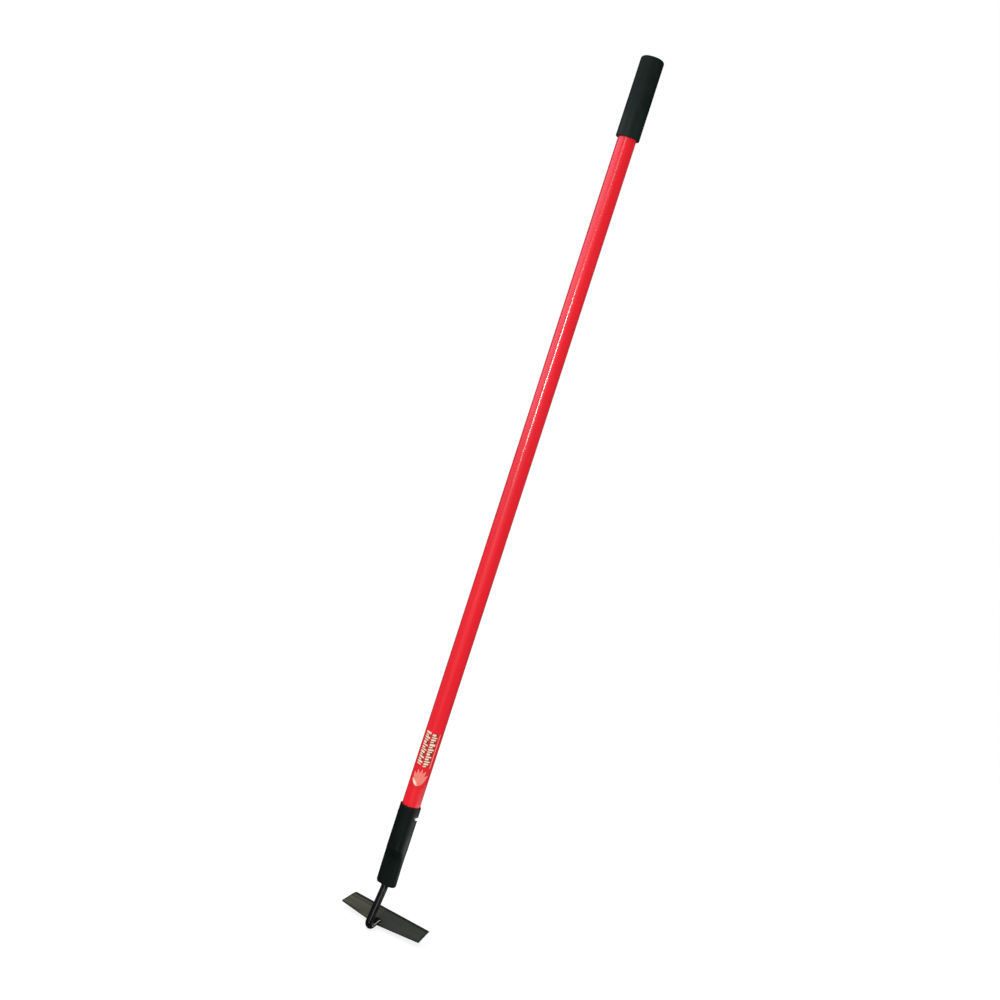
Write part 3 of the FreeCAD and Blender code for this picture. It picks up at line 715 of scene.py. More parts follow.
@dataclass(frozen=True)
class GripRubber(Finish):
    """Soft black moulded rubber with a fine matte grain."""

    rubber: Colour = paint(17, 28, 24)
    # Colour of the bloom, also used for the painted highlight near the open rim.
    bloom_and_highlight: Colour = paint(34, 47, 42)
    rim: float = 0.0
    smooth_run: Span = (62 * MM, 14 * MM)
    grain: Pitch = (1500, 1500, 1300)
    soft: Pitch = (70, 70, 34)
    fine: Pitch = (2600, 2600, 2600)

    def make(self) -> bpy.types.Material:
        """Leathery grain, a faint bloom, and near the open rim a smoother skin and a painted highlight that
        lightens the colour.

        Returns:
            The material.
        """
        sheet = NodeSheet(self.name)
        grain = sheet.cells(self.grain)
        soft = sheet.grain(self.soft, detail=3.0)
        fine = sheet.grain(self.fine, detail=2.0)
        far, near = self.smooth_run
        near_rim = sheet.span(sheet.along("Z"), self.rim + far, self.rim + near)
        dusted = sheet.span(soft, 0.4, 0.75, 0.0, 0.3)
        # Partly real bloom, partly painted highlight: the colour lightens towards the open rim.
        bloom_and_highlight = sheet.sum("ADD", dusted, sheet.sum("MULTIPLY", near_rim, 0.3))
        sheet.shade(Base_Color=sheet.lay(bloom_and_highlight, self.rubber, self.bloom_and_highlight))
        smooth = sheet.span(near_rim, 0.0, 1.0, 0.6, 0.36)
        sheet.shade(Roughness=sheet.sum("ADD", smooth, sheet.span(soft, 0.3, 0.7, -0.04, 0.05)))
        sheet.shade(IOR=1.45, Specular_IOR_Level=0.12)
        sheet.relief(grain, 0.00012, 0.35)
        sheet.relief(fine, 0.00004, 0.3)
        return sheet.material


@dataclass(frozen=True)
class RawFibreglass(Finish):
    """Unpainted inner tube: pale resin over glass bundles."""

    resin: Colour = paint(214, 203, 164)
    glass: Colour = paint(236, 231, 208)
    bundles: Pitch = (500, 500, 4)

    def make(self) -> bpy.types.Material:
        """Bundles along the tube, with a dry matte skin.

        Returns:
            The material.
        """
        sheet = NodeSheet(self.name)
        bundles = sheet.grain(self.bundles, detail=4.0)
        sheet.shade(Base_Color=sheet.lay(sheet.span(bundles, 0.4, 0.65), self.resin, self.glass))
        sheet.shade(Roughness=sheet.span(bundles, 0.3, 0.7, 0.5, 0.7))
        sheet.relief(bundles, 0.0001, 0.5)
        return sheet.material


@dataclass(frozen=True)
class MouldedPlastic(Finish):
    """Black moulded plastic of the hidden plugs."""

    plastic: Colour = paint(38, 38, 38)
    flow_mark: Colour = paint(58, 58, 57)
    flow: Pitch = (40, 40, 90)
    pits: Pitch = (1100, 1100, 1100)

    def make(self) -> bpy.types.Material:
        """Spark-eroded mould texture with faint flow marks.

        Returns:
            The material.
        """
        sheet = NodeSheet(self.name)
        flow = sheet.grain(self.flow, detail=3.0)
        pits = sheet.cells(self.pits)
        sheet.shade(Base_Color=sheet.lay(sheet.span(flow, 0.4, 0.7, 0.0, 0.5), self.plastic, self.flow_mark))
        sheet.shade(Roughness=sheet.span(flow, 0.3, 0.7, 0.45, 0.6))
        sheet.relief(pits, 0.00008, 0.4)
        return sheet.material


@dataclass(frozen=True)
class LabelFilm(Finish):
    """Thin film over the handle: the handle's red, a little flatter and faintly scuffed."""

    film: Colour = paint(230, 18, 36)
    shade: Colour = paint(219, 15, 32)
    glue: Pitch = (110, 110, 80)
    rubs: Pitch = (1300, 1300, 90)

    def make(self) -> bpy.types.Material:
        """Soft clouds of glue under the film and fine rub marks on it.

        Returns:
            The material.
        """
        sheet = NodeSheet(self.name)
        glue = sheet.grain(self.glue, detail=3.0)
        rubs = sheet.grain(self.rubs, detail=4.0, rough=0.65)
        sheet.shade(Base_Color=sheet.lay(sheet.span(glue, 0.4, 0.7, 0.0, 0.6), self.film, self.shade))
        sheet.shade(Roughness=sheet.span(rubs, 0.4, 0.7, 0.2, 0.38), IOR=1.5)
        sheet.relief(glue, 0.0001, 0.25)
        sheet.relief(rubs, 0.00003, 0.3)
        return sheet.material


@dataclass(frozen=True)
class PrintInk(Finish):
    """Screen-printed ink, mottled where it has rubbed off."""

    ink: Colour = paint(246, 222, 192)
    rubbed: Colour = paint(226, 118, 104)
    mottle: Pitch = (620, 620, 620)

    def make(self) -> bpy.types.Material:
        """Mottle and pinholes that let the film's red through.

        Returns:
            The material.
        """
        sheet = NodeSheet(self.name)
        mottle = sheet.grain(self.mottle, detail=4.0, rough=0.6)
        sheet.shade(Base_Color=sheet.lay(sheet.span(mottle, 0.5, 0.72, 0.0, 0.8), self.ink, self.rubbed))
        sheet.shade(Roughness=sheet.span(mottle, 0.3, 0.7, 0.4, 0.55))
        sheet.relief(mottle, 0.00003, 0.3)
        return sheet.material


@dataclass(frozen=True)
class FloorPaint(Finish):
    """Plain pale studio floor."""

    pale: Colour = (0.25, 0.25, 0.25)
    shade: Colour = (0.24, 0.24, 0.24)
    glow: float = 0.8
    marks: Pitch = (3, 3, 3)
    nap: Pitch = (140, 140, 140)

    def make(self) -> bpy.types.Material:
        """Barely seen roller marks.

        Returns:
            The material.
        """
        sheet = NodeSheet(self.name)
        marks = sheet.grain(self.marks, detail=4.0)
        sheet.shade(Base_Color=sheet.lay(sheet.span(marks, 0.35, 0.7), self.pale, self.shade))
        sheet.shade(Roughness=0.9, Specular_IOR_Level=0.1)
        sheet.shade(Emission_Color=(1.0, 1.0, 1.0), Emission_Strength=self.glow)
        sheet.relief(sheet.grain(self.nap), 0.0001, 0.1)
        return sheet.material


# The hoe


@dataclass
class Handle:
    """Pultruded tube with its two inner tubes and plug, and the label round its lower part.

    Sizes of the printing (columns, rows, short, row_gap, leaf_root, leaves, petal) are in millimetres.
    A column is its left edge, right edge and slant.  A leaf is its tip's distance across, its distance
    down and its half width.
    """

    wall: float = 2.6 * MM
    end_chamfer: float = 0.6 * MM
    die_line: float = 0.05 * MM
    die_line_width: float = math.radians(4)
    segments: int = 144
    rings: int = 44
    label_rows: int = 60
    label_steps: int = 48
    label_facing: float = math.radians(30)
    label_wrap: float = math.radians(150)
    film: float = 0.12 * MM
    film_gap: float = 0.01 * MM
    label_corner: float = 3 * MM
    ink: float = 0.03 * MM
    ink_root: float = 0.6
    least_ink: float = 0.02 * MM
    patch_trim: float = 0.004
    patch_steps: int = 28
    patch_columns: int = 8
    skin: Finish = Fibreglass("glossy_red_fibreglass")
    core: Finish = RawFibreglass("raw_pale_fibreglass")
    plug: Finish = MouldedPlastic("moulded_black_plastic")
    label_skin: Finish = LabelFilm("clear_red_film")
    cream: Finish = PrintInk("cream_ink")
    pink: Finish = PrintInk("pink_ink", paint(242, 128, 114), paint(226, 66, 66))
    dark: Finish = PrintInk("dark_ink", paint(150, 20, 26), paint(120, 16, 20))
    columns: tuple[Triple, ...] = ((-13.8, -4.2, 1.4), (-1.4, 8.2, -0.9))
    rows: tuple[float, ...] = (3.4, 2.0, 3.0, 2.2, 3.8, 2.2, 2.8, 2.0, 3.6, 2.4, 3.0, 2.2, 3.2, 2.0)
    short: tuple[float, ...] = (0.0, 3.4, 0.0, 1.6, 4.2)
    row_gap: float = 1.55
    print_margin: float = 0.4 * MM
    ground_margin: float = 0.6 * MM
    ground_side: float = 0.5 * MM
    ground_coats: float = 0.4
    rule_across: float = 11.8 * MM
    rule_length: float = 62 * MM
    rule_half: float = 1.1 * MM
    leaf_root: Span = (-1.5, 95)
    leaves: tuple[Triple, ...] = (
        (-12.5, 72, 4.2),
        (-6.5, 66.5, 3.6),
        (0.5, 65, 3.4),
        (7.0, 67, 3.6),
        (12.8, 74, 3.8),
    )
    petal: Triple = (-12.6, 84, 2.4)
    petal_coats: float = 1.6
    radius: float = field(init=False)
    low: float = field(init=False)
    high: float = field(init=False)

    def __post_init__(self) -> None:
        """Read the tube's place from the frame."""
        lowest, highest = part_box("handle_tube")
        self.radius = highest.x
        self.low = lowest.z
        self.high = highest.z

    def build(self) -> None:
        """Make the tube and the label, and dress the pieces inside."""
        self.make_tube()
        self.make_label()
        self.make_print()
        dress_node("reinforcement_tube", self.core)
        dress_node("core_tube", self.core)
        dress_node("core_plug", self.plug)

    def outer(self, share: float, inset: float) -> Vector:
        """Point on the tube's skin; two faint die lines run down opposite sides.

        Args:
            share: Share of a turn round from +X.
            inset: How far the point lies inside the full radius.

        Returns:
            The point, at level 0.
        """
        turn = (share % 0.5 - 0.25) * FULL_TURN
        line = self.die_line * math.exp(-((turn / self.die_line_width) ** 2))
        return circle_point(share, self.radius - inset - line)

    def make_tube(self) -> bpy.types.Object:
        """Make the tube: skin, chamfered ends and bore.

        Returns:
            The tube.
        """
        shares = [step / self.segments for step in range(self.segments)]
        chamfer = self.end_chamfer
        levels = [(self.low, chamfer)]
        levels += [(z, 0.0) for z in spread(self.low + chamfer, self.high - chamfer, self.rings)]
        levels += [(self.high, chamfer)]
        rings = []
        for level, inset in levels:
            rings.append([self.outer(share, inset) + Vector((0, 0, level)) for share in shares])
        bore = self.radius - self.wall
        for level in (self.high, self.low):
            rings.append([circle_point(share, bore) + Vector((0, 0, level)) for share in shares])
        skin = Skin("handle_skin")
        skin.wrap(rings, Ends.LOOP)
        return skin.piece(self.skin, "red_fibreglass", "handle_tube")

    def on_label(self, across: float, level: float, height: float) -> Vector:
        """Point on the label, which is bent round the handle.

        Args:
            across: Distance along the curve from the label's middle, to a viewer's right.
            level: Height along the handle.
            height: Distance out from the handle's skin.

        Returns:
            The point.
        """
        angle = self.label_facing - math.pi / 2 + across / self.radius
        reach = self.radius + height
        return Vector((reach * math.cos(angle), reach * math.sin(angle), level))

    def make_label(self) -> bpy.types.Object:
        """Make the film as one thin closed sheet with its corners rounded.

        Returns:
            The film.
        """
        lowest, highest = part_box("label")
        half = self.label_wrap / 2 * self.radius
        corner = self.label_corner
        skin = Skin("label_sheet")
        rings = []
        for level in spread(lowest.z, highest.z, self.label_rows):
            near = min(level - lowest.z, highest.z - level)
            draw = corner - math.sqrt(max(0.0, corner**2 - max(0.0, corner - near) ** 2))
            outer = spread(draw - half, half - draw, self.label_steps)
            ring = [self.on_label(across, level, self.film) for across in outer]
            ring += [self.on_label(across, level, self.film_gap) for across in reversed(outer)]
            rings.append(ring)
        skin.wrap(rings, Ends.CAPPED)
        return skin.piece(self.label_skin, "label_film", "label")

    def print_patch(
        self,
        skin: Skin,
        start: Sequence[float],
        end: Sequence[float],
        widths: Callable[[float], float],
        coats: float = 1.0,
    ) -> None:
        """Print one patch of ink along a straight line on the label.

        Args:
            skin: Mesh that the patch joins.
            start: Across and level of the line's start.
            end: Across and level of its end.
            widths: Half width of the patch at each share of the line.
            coats: Thickness of the ink, in coats.
        """
        line = Vector(end) - Vector(start)
        side = Vector((line.y, -line.x)).normalized()
        rings = []
        for share in spread(self.patch_trim, 1 - self.patch_trim, self.patch_steps):
            middle = Vector(start) + line * share
            reach = max(widths(share), self.least_ink)
            row = [middle + side * offset for offset in spread(-reach, reach, self.patch_columns)]
            ring = [self.on_label(spot.x, spot.y, self.film + self.ink * coats) for spot in row]
            ring += [self.on_label(spot.x, spot.y, self.film * self.ink_root) for spot in reversed(row)]
            rings.append(ring)
        skin.wrap(rings, Ends.CAPPED)

    def make_print(self) -> None:
        """Print two columns of plain cream bars on dark ground, a pink rule and a sprout."""
        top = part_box("label")[1].z - self.print_margin

        def bar(half: float) -> Callable[[float], float]:
            """Half width of a straight bar with eased ends."""
            return lambda share: half * min(1.0, 0.5 + 8 * min(share, 1 - share))

        def leaf(half: float) -> Callable[[float], float]:
            """Half width of a leaf, widest past its middle."""
            return lambda share: half * math.sin(math.pi * share**0.8) ** 0.8

        cream = Skin("label_bars")
        shade = Skin("label_shade")
        for count, (first, last, slant) in enumerate(self.columns):
            level = top - (1.2 + 0.8 * count) * MM
            for row, thick in enumerate(self.rows):
                start = (first * MM, level - thick / 2 * MM + slant * MM)
                end = ((last - self.short[(row + count) % len(self.short)]) * MM, level - thick / 2 * MM)
                self.print_patch(cream, start, end, bar(thick / 2 * MM))
                level -= (thick + self.row_gap) * MM
            middle = (first + last) / 2 * MM
            self.print_patch(
                shade,
                (middle, top - self.ground_margin),
                (middle, level + self.ground_margin),
                bar((last - first) / 2 * MM + self.ground_side),
                self.ground_coats,
            )
        shade.piece(self.dark, "label_film")
        cream.piece(self.cream, "label_film")
        pink = Skin("label_sprout")
        foot = (self.rule_across, top - self.rule_length)
        self.print_patch(pink, (self.rule_across, top), foot, bar(self.rule_half))
        root = (self.leaf_root[0] * MM, top - self.leaf_root[1] * MM)
        for across, down, half in self.leaves:
            self.print_patch(pink, root, (across * MM, top - down * MM), leaf(half * MM))
        pink.piece(self.pink, "label_film")
        petal = Skin("label_petal")
        across, down, half = self.petal
        self.print_patch(petal, root, (across * MM, top - down * MM), leaf(half * MM), self.petal_coats)
        petal.piece(self.cream, "label_film")


@dataclass
class Grip:
    """Moulded sleeve, closed at the top, over the handle's upper end and its plug."""

    taper: float = 0.2 * MM
    flare: float = 0.08 * MM
    flare_length: float = 9 * MM
    crown: float = 5.2 * MM
    rim: float = 1.2 * MM
    dish: float = 0.5 * MM
    cover: float = 130 * MM
    flange: float = 2.4 * MM
    sway: float = 0.12 * MM
    sway_pitch: Span = (60.0, 25.0)
    bore_gap: float = 0.05 * MM
    bore_chamfer: float = 0.4 * MM
    crown_start: float = math.radians(8)
    dish_shares: tuple[float, ...] = (0.75, 0.5, 0.25, 0.06)
    roof_shares: tuple[float, ...] = (0.06, 0.5, 1.0)
    segments: int = 128
    rim_steps: int = 8
    wall_steps: int = 60
    crown_steps: int = 12
    bore: float = field(init=False)
    rubber: Finish = field(init=False)
    plug: Finish = MouldedPlastic("moulded_black_plastic")
    handle: Handle = field(default_factory=Handle)

    def __post_init__(self) -> None:
        """Size the bore to the handle and place the rubber's smoother stretch at the open rim."""
        self.bore = self.handle.radius + self.bore_gap
        self.rubber = GripRubber("matte_grip_rubber", rim=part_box("grip")[0].z)

    def build(self) -> None:
        """Make the sleeve and dress the plug under it."""
        self.make_sleeve()
        dress_node("end_plug", self.plug)

    def profile(self) -> list[tuple[float, float]]:
        """Radius and level round the sleeve's wall, from the bore's mouth over the top and back.

        Returns:
            The outline's points, in order round the wall.
        """
        lowest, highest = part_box("grip")
        bottom, top, full = lowest.z, highest.z, highest.x
        points = [(self.bore + self.bore_chamfer, bottom)]
        for turn in spread(-math.pi / 2, 0.0, self.rim_steps):
            level = bottom + self.rim * (1 + math.sin(turn))
            points.append((full - self.rim + self.rim * math.cos(turn), level))
        for level in spread(bottom + 2 * self.rim, top - self.crown, self.wall_steps):
            height = level - bottom
            share = height / (top - self.crown - bottom)
            swell = self.flare * math.exp(-height / self.flare_length)
            points.append((full - self.flare - self.taper * ease(share) + swell, level))
        crown_hub = points[-1][0] - self.crown
        for turn in spread(self.crown_start, math.pi / 2, self.crown_steps):
            level = top - self.crown * (1 - math.sin(turn))
            points.append((crown_hub + self.crown * math.cos(turn), level))
        for share in self.dish_shares:
            points.append((crown_hub * share, top - self.dish * (1 - share**2)))
        return points

    def make_sleeve(self) -> bpy.types.Object:
        """Turn the outline, with a slight sway, and close it inside with the bore.

        Returns:
            The sleeve.
        """
        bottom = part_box("grip")[0].z
        roof = bottom + self.cover + self.flange
        inner = [(share * self.bore, roof) for share in self.roof_shares]
        inner.append((self.bore, bottom + self.bore_chamfer))
        around, upward = self.sway_pitch
        rings = []
        for radius, level in inner + self.profile():
            ring = []
            for step in range(self.segments):
                point = circle_point(step / self.segments, radius) + Vector((0, 0, level))
                if radius > self.bore + 1 * MM:
                    drift = noise.noise(Vector((point.x * around, point.y * around, level * upward)))
                    point -= circle_point(step / self.segments, self.sway * abs(drift))
                ring.append(point)
            rings.append(ring)
        skin = Skin("grip_sleeve")
        skin.wrap(rings, Ends.CAPPED)
        return skin.piece(self.rubber, "grip_rubber", "grip")


@dataclass
class Socket:
    """Ferrule: round at its mouth, pressed flat at its foot, with its ring weld and rivet."""

    wall: float = 2.2 * MM
    gap: float = 0.1 * MM
    round_length: float = 75 * MM
    crimp_run: float = 22 * MM
    flat_thick: float = 17.3 * MM
    taper: float = 3.5 * MM
    taper_step: float = 2.6 * MM
    taper_thin: float = 0.5 * MM
    foot_wall: float = 4 * MM
    mouth_round: float = 0.9 * MM
    mouth_step: float = 0.3 * MM
    bore_lip: float = 0.4 * MM
    ring_gap: float = 1 * MM
    rod_hole: float = 6.45 * MM
    wing_press: float = 0.5 * MM
    lean: float = 0.8 * MM
    lean_back: float = 0.35
    head_radius: float = 4.8 * MM
    shank_radius: float = 3.175 * MM
    head_sink: float = 0.02 * MM
    head_edge: float = 0.25 * MM
    weld_leg: float = 1.9 * MM
    weld_wander: float = 0.12
    weld_fullness: float = 0.8
    weld_root: float = 0.1 * MM
    weld_start: float = 0.05 * MM
    ripples: int = 13
    ripple_depth: float = 0.22
    foot_shares: tuple[float, ...] = (1.0, 0.96, 0.88, 0.75, 0.5, 0.25, 0.08, 0.0)
    segments: int = 128
    weld_segments: int = 240
    head_segments: int = 48
    weld: Finish = WeldEnamel("weld_enamel")
    zinc: Finish = ZincPlate("zinc_plate")
    radius: float = field(init=False)
    width: float = field(init=False)
    mouth: float = field(init=False)
    foot: float = field(init=False)
    round_end: float = field(init=False)

    def __post_init__(self) -> None:
        """Read the ferrule's place from the frame."""
        lowest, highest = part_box("ferrule")
        self.radius = highest.y
        self.width = highest.x - lowest.x
        self.mouth = highest.z
        self.foot = lowest.z
        self.round_end = self.mouth - self.round_length

    def build(self) -> None:
        """Make the ferrule, its ring weld and its rivet."""
        self.make_ferrule()
        self.make_ring_weld()
        self.make_rivet()

    def pressed(self, level: float) -> float:
        """Share of the press at a level: 0 where the tube is round, 1 where it is flat."""
        return ease((self.round_end - level) / self.crimp_run)

    def section(self, level: float, inset: float) -> Ring:
        """Outline of the tube at a level.

        Args:
            level: Height along the handle.
            inset: Distance in from the outer face.

        Returns:
            The ring of points.
        """
        share_flat = self.pressed(level)
        below = ease((self.round_end - level) / (self.round_end - self.foot))
        shift = self.lean * (below - self.lean_back * math.sin(math.pi * below)) * share_flat
        ring = []
        for step in range(self.segments):
            share = step / self.segments
            round_spot = circle_point(share, self.radius - inset)
            flat_spot = obround_point(share, self.width - 2 * inset, self.flat_thick - 2 * inset)
            spot = round_spot.lerp(flat_spot, share_flat)
            edge = abs(spot.x) / (self.width / 2)
            spot.y *= 1 - share_flat * edge**2 * 2 * self.wing_press / self.flat_thick
            ring.append(spot + Vector((shift, 0, level)))
        return ring

    def foot_ring(self, share: float) -> Ring:
        """Ring round the ferrule's foot, drawn in as it goes down.

        Args:
            share: 0 at the taper's top, 1 at the end face.

        Returns:
            The ring of points.
        """
        level = self.foot + self.taper * (1 - share)
        bend = 0.6 * share + 0.4 * (1 - math.sqrt(1 - share**2))
        ring = []
        for point in self.section(level, 0.0):
            narrow = 1 - 2 * self.taper_step * bend / self.width
            thin = 1 - 2 * self.taper_thin * bend / self.flat_thick
            ring.append(Vector((point.x * narrow, point.y * thin, level)))
        return ring

    def hole_ring(self, level: float) -> Ring:
        """Ring of the rod's hole at a level."""
        return [
            circle_point(step / self.segments, self.rod_hole) + Vector((0, 0, level))
            for step in range(self.segments)
        ]

    def make_ferrule(self) -> bpy.types.Object:
        """Make the tube as one closed wall: bore, foot, outer face and rolled mouth.

        Returns:
            The ferrule.
        """
        flat_start = self.round_end - self.crimp_run
        floor = self.foot + self.foot_wall
        bore_top = self.mouth - self.bore_lip
        inner = [bore_top, bore_top - 2 * self.ring_gap, self.round_end + self.ring_gap]
        inner += spread(self.round_end, flat_start, 16) + [floor]
        outer = spread(self.foot + self.taper + self.ring_gap, flat_start, 14)
        outer += spread(flat_start, self.round_end, 26)[1:]
        outer += spread(self.round_end, self.mouth - self.mouth_round - self.ring_gap, 18)[1:]
        end_hole = self.hole_ring(self.foot)
        rings = [self.section(self.mouth, self.wall - self.mouth_step)]
        rings += [self.section(level, self.wall) for level in inner]
        rings += [self.hole_ring(floor), end_hole]
        rings.append([near.lerp(far, 0.5) for near, far in zip(end_hole, self.foot_ring(1.0))])
        rings += [self.foot_ring(share) for share in self.foot_shares]
        rings += [self.section(level, 0.0) for level in outer]
        for turn in spread(0.0, math.pi / 2, 7):
            draw = self.mouth_round * (1 - math.cos(turn))
            rings.append(self.section(self.mouth - self.mouth_round * (1 - math.sin(turn)), draw))
        skin = Skin("ferrule_shell")
        skin.wrap(rings, Ends.LOOP)
        coat = PowderCoat("ferrule_coat", mouth=self.mouth, foot=self.foot)
        return skin.piece(coat, "ferrule_paint", "ferrule")

    def make_ring_weld(self) -> bpy.types.Object:
        """Make the bead that closes the ferrule's foot round the rod, with laid ripples.

        Returns:
            The bead.
        """
        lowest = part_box("ferrule_weld")[0]
        rod = self.rod_hole - self.gap
        rings = []
        inside = rod - self.weld_root
        for step in range(self.weld_segments):
            share = step / self.weld_segments
            ripple = 1 - self.ripple_depth * abs(math.sin(self.ripples * math.pi * share)) ** 0.7
            wander = 1 + self.weld_wander * noise.noise(circle_point(share, 2.0))
            leg = self.weld_leg * ripple * wander
            ring = [circle_point(share, inside) + Vector((0, 0, self.foot + self.weld_start))]
            for turn in spread(0.0, math.pi / 2, 10):
                reach = rod + leg * math.cos(turn) ** self.weld_fullness
                depth = min(leg * math.sin(turn) ** self.weld_fullness, self.foot - lowest.z)
                ring.append(circle_point(share, reach) + Vector((0, 0, self.foot - depth)))
            ring.append(circle_point(share, inside) + Vector((0, 0, self.foot - self.weld_leg * 0.5)))
            rings.append(ring)
        skin = Skin("ring_bead")
        skin.wrap(rings, Ends.LOOP)
        return skin.piece(self.weld, "painted_weld", "ferrule_weld")

    def make_rivet(self) -> bpy.types.Object:
        """Make the through rivet: a domed head seated on the ferrule at each end of its shank.

        Returns:
            The rivet.
        """
        lowest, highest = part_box("ferrule_rivet")
        middle = (lowest.z + highest.z) / 2
        tip = highest.x
        high = tip - self.radius
        dome = (self.head_radius**2 + high**2) / (2 * high)
        skin = Skin("rivet")
        edge = self.head_radius

        def ring(side: int, reach: float, depth: Callable[[float], float]) -> Ring:
            """Ring of a head.

            Args:
                side: 1 for the head on the right, -1 for the left.
                reach: Radius about the rivet's axis.
                depth: Distance out of each point, from its place across.

            Returns:
                The ring of points.
            """
            points = []
            for step in range(self.head_segments):
                around = circle_point(step / self.head_segments, reach)
                points.append(Vector((side * depth(around.x), around.x, middle + around.y)))
            return points

        def seat(across: float) -> float:
            """Distance of the ferrule's face from its axis."""
            return math.sqrt(self.radius**2 - across**2) - self.head_sink

        def half(side: int) -> list[Ring]:
            """Rings of one end, from the shank out to the head's tip.

            Args:
                side: 1 for the head on the right, -1 for the left.

            Returns:
                The rings.
            """
            rings = [ring(side, self.shank_radius, lambda across: self.radius - self.wall)]
            rings.append(ring(side, self.shank_radius, seat))
            rings.append(ring(side, edge, seat))
            for share in spread(0.0, 1.0, 9):
                reach = edge * math.cos(share * math.pi / 2 * 0.97)
                crown = tip - dome + math.sqrt(dome**2 - reach**2)
                rings.append(ring(side, reach, lambda across: max(crown, seat(across) + self.head_edge)))
            return rings

        skin.wrap(list(reversed(half(-1))) + half(1), Ends.CAPPED)
        return skin.piece(self.zinc, "rivet_steel", "ferrule_rivet")


@dataclass
class BladeFrame:
    """The blade's own directions: across, along its slope, and out of its top face."""

    drop: float = 73.7 * MM
    offset: float = 10.9 * MM
    tilt: float = math.radians(25.4)
    peak: float = field(init=False)

    def __post_init__(self) -> None:
        """Measure the blade's height down from the ferrule's foot."""
        self.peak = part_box("ferrule")[0].z - self.drop

    def spot(self, across: float, along: float, out: float) -> Vector:
        """Point given in the blade's directions.

        Args:
            across: Distance along X.
            along: Distance from the back edge's peak towards the cutting edge.
            out: Distance out of the top face.

        Returns:
            The point in the hoe's frame.
        """
        sine, cosine = math.sin(self.tilt), math.cos(self.tilt)
        level = self.peak + along * sine + out * cosine
        return Vector((across, self.offset + along * cosine - out * sine, level))

    def directions(self) -> tuple[Vector, Vector, Vector]:
        """The back edge's peak, the direction along the slope and the one out of the top face."""
        peak = self.spot(0.0, 0.0, 0.0)
        return peak, self.spot(0.0, 1.0, 0.0) - peak, self.spot(0.0, 0.0, 1.0) - peak


class Side(Enum):
    """The two sides of the rod that a bead can lie on."""

    LEFT = -1
    RIGHT = 1


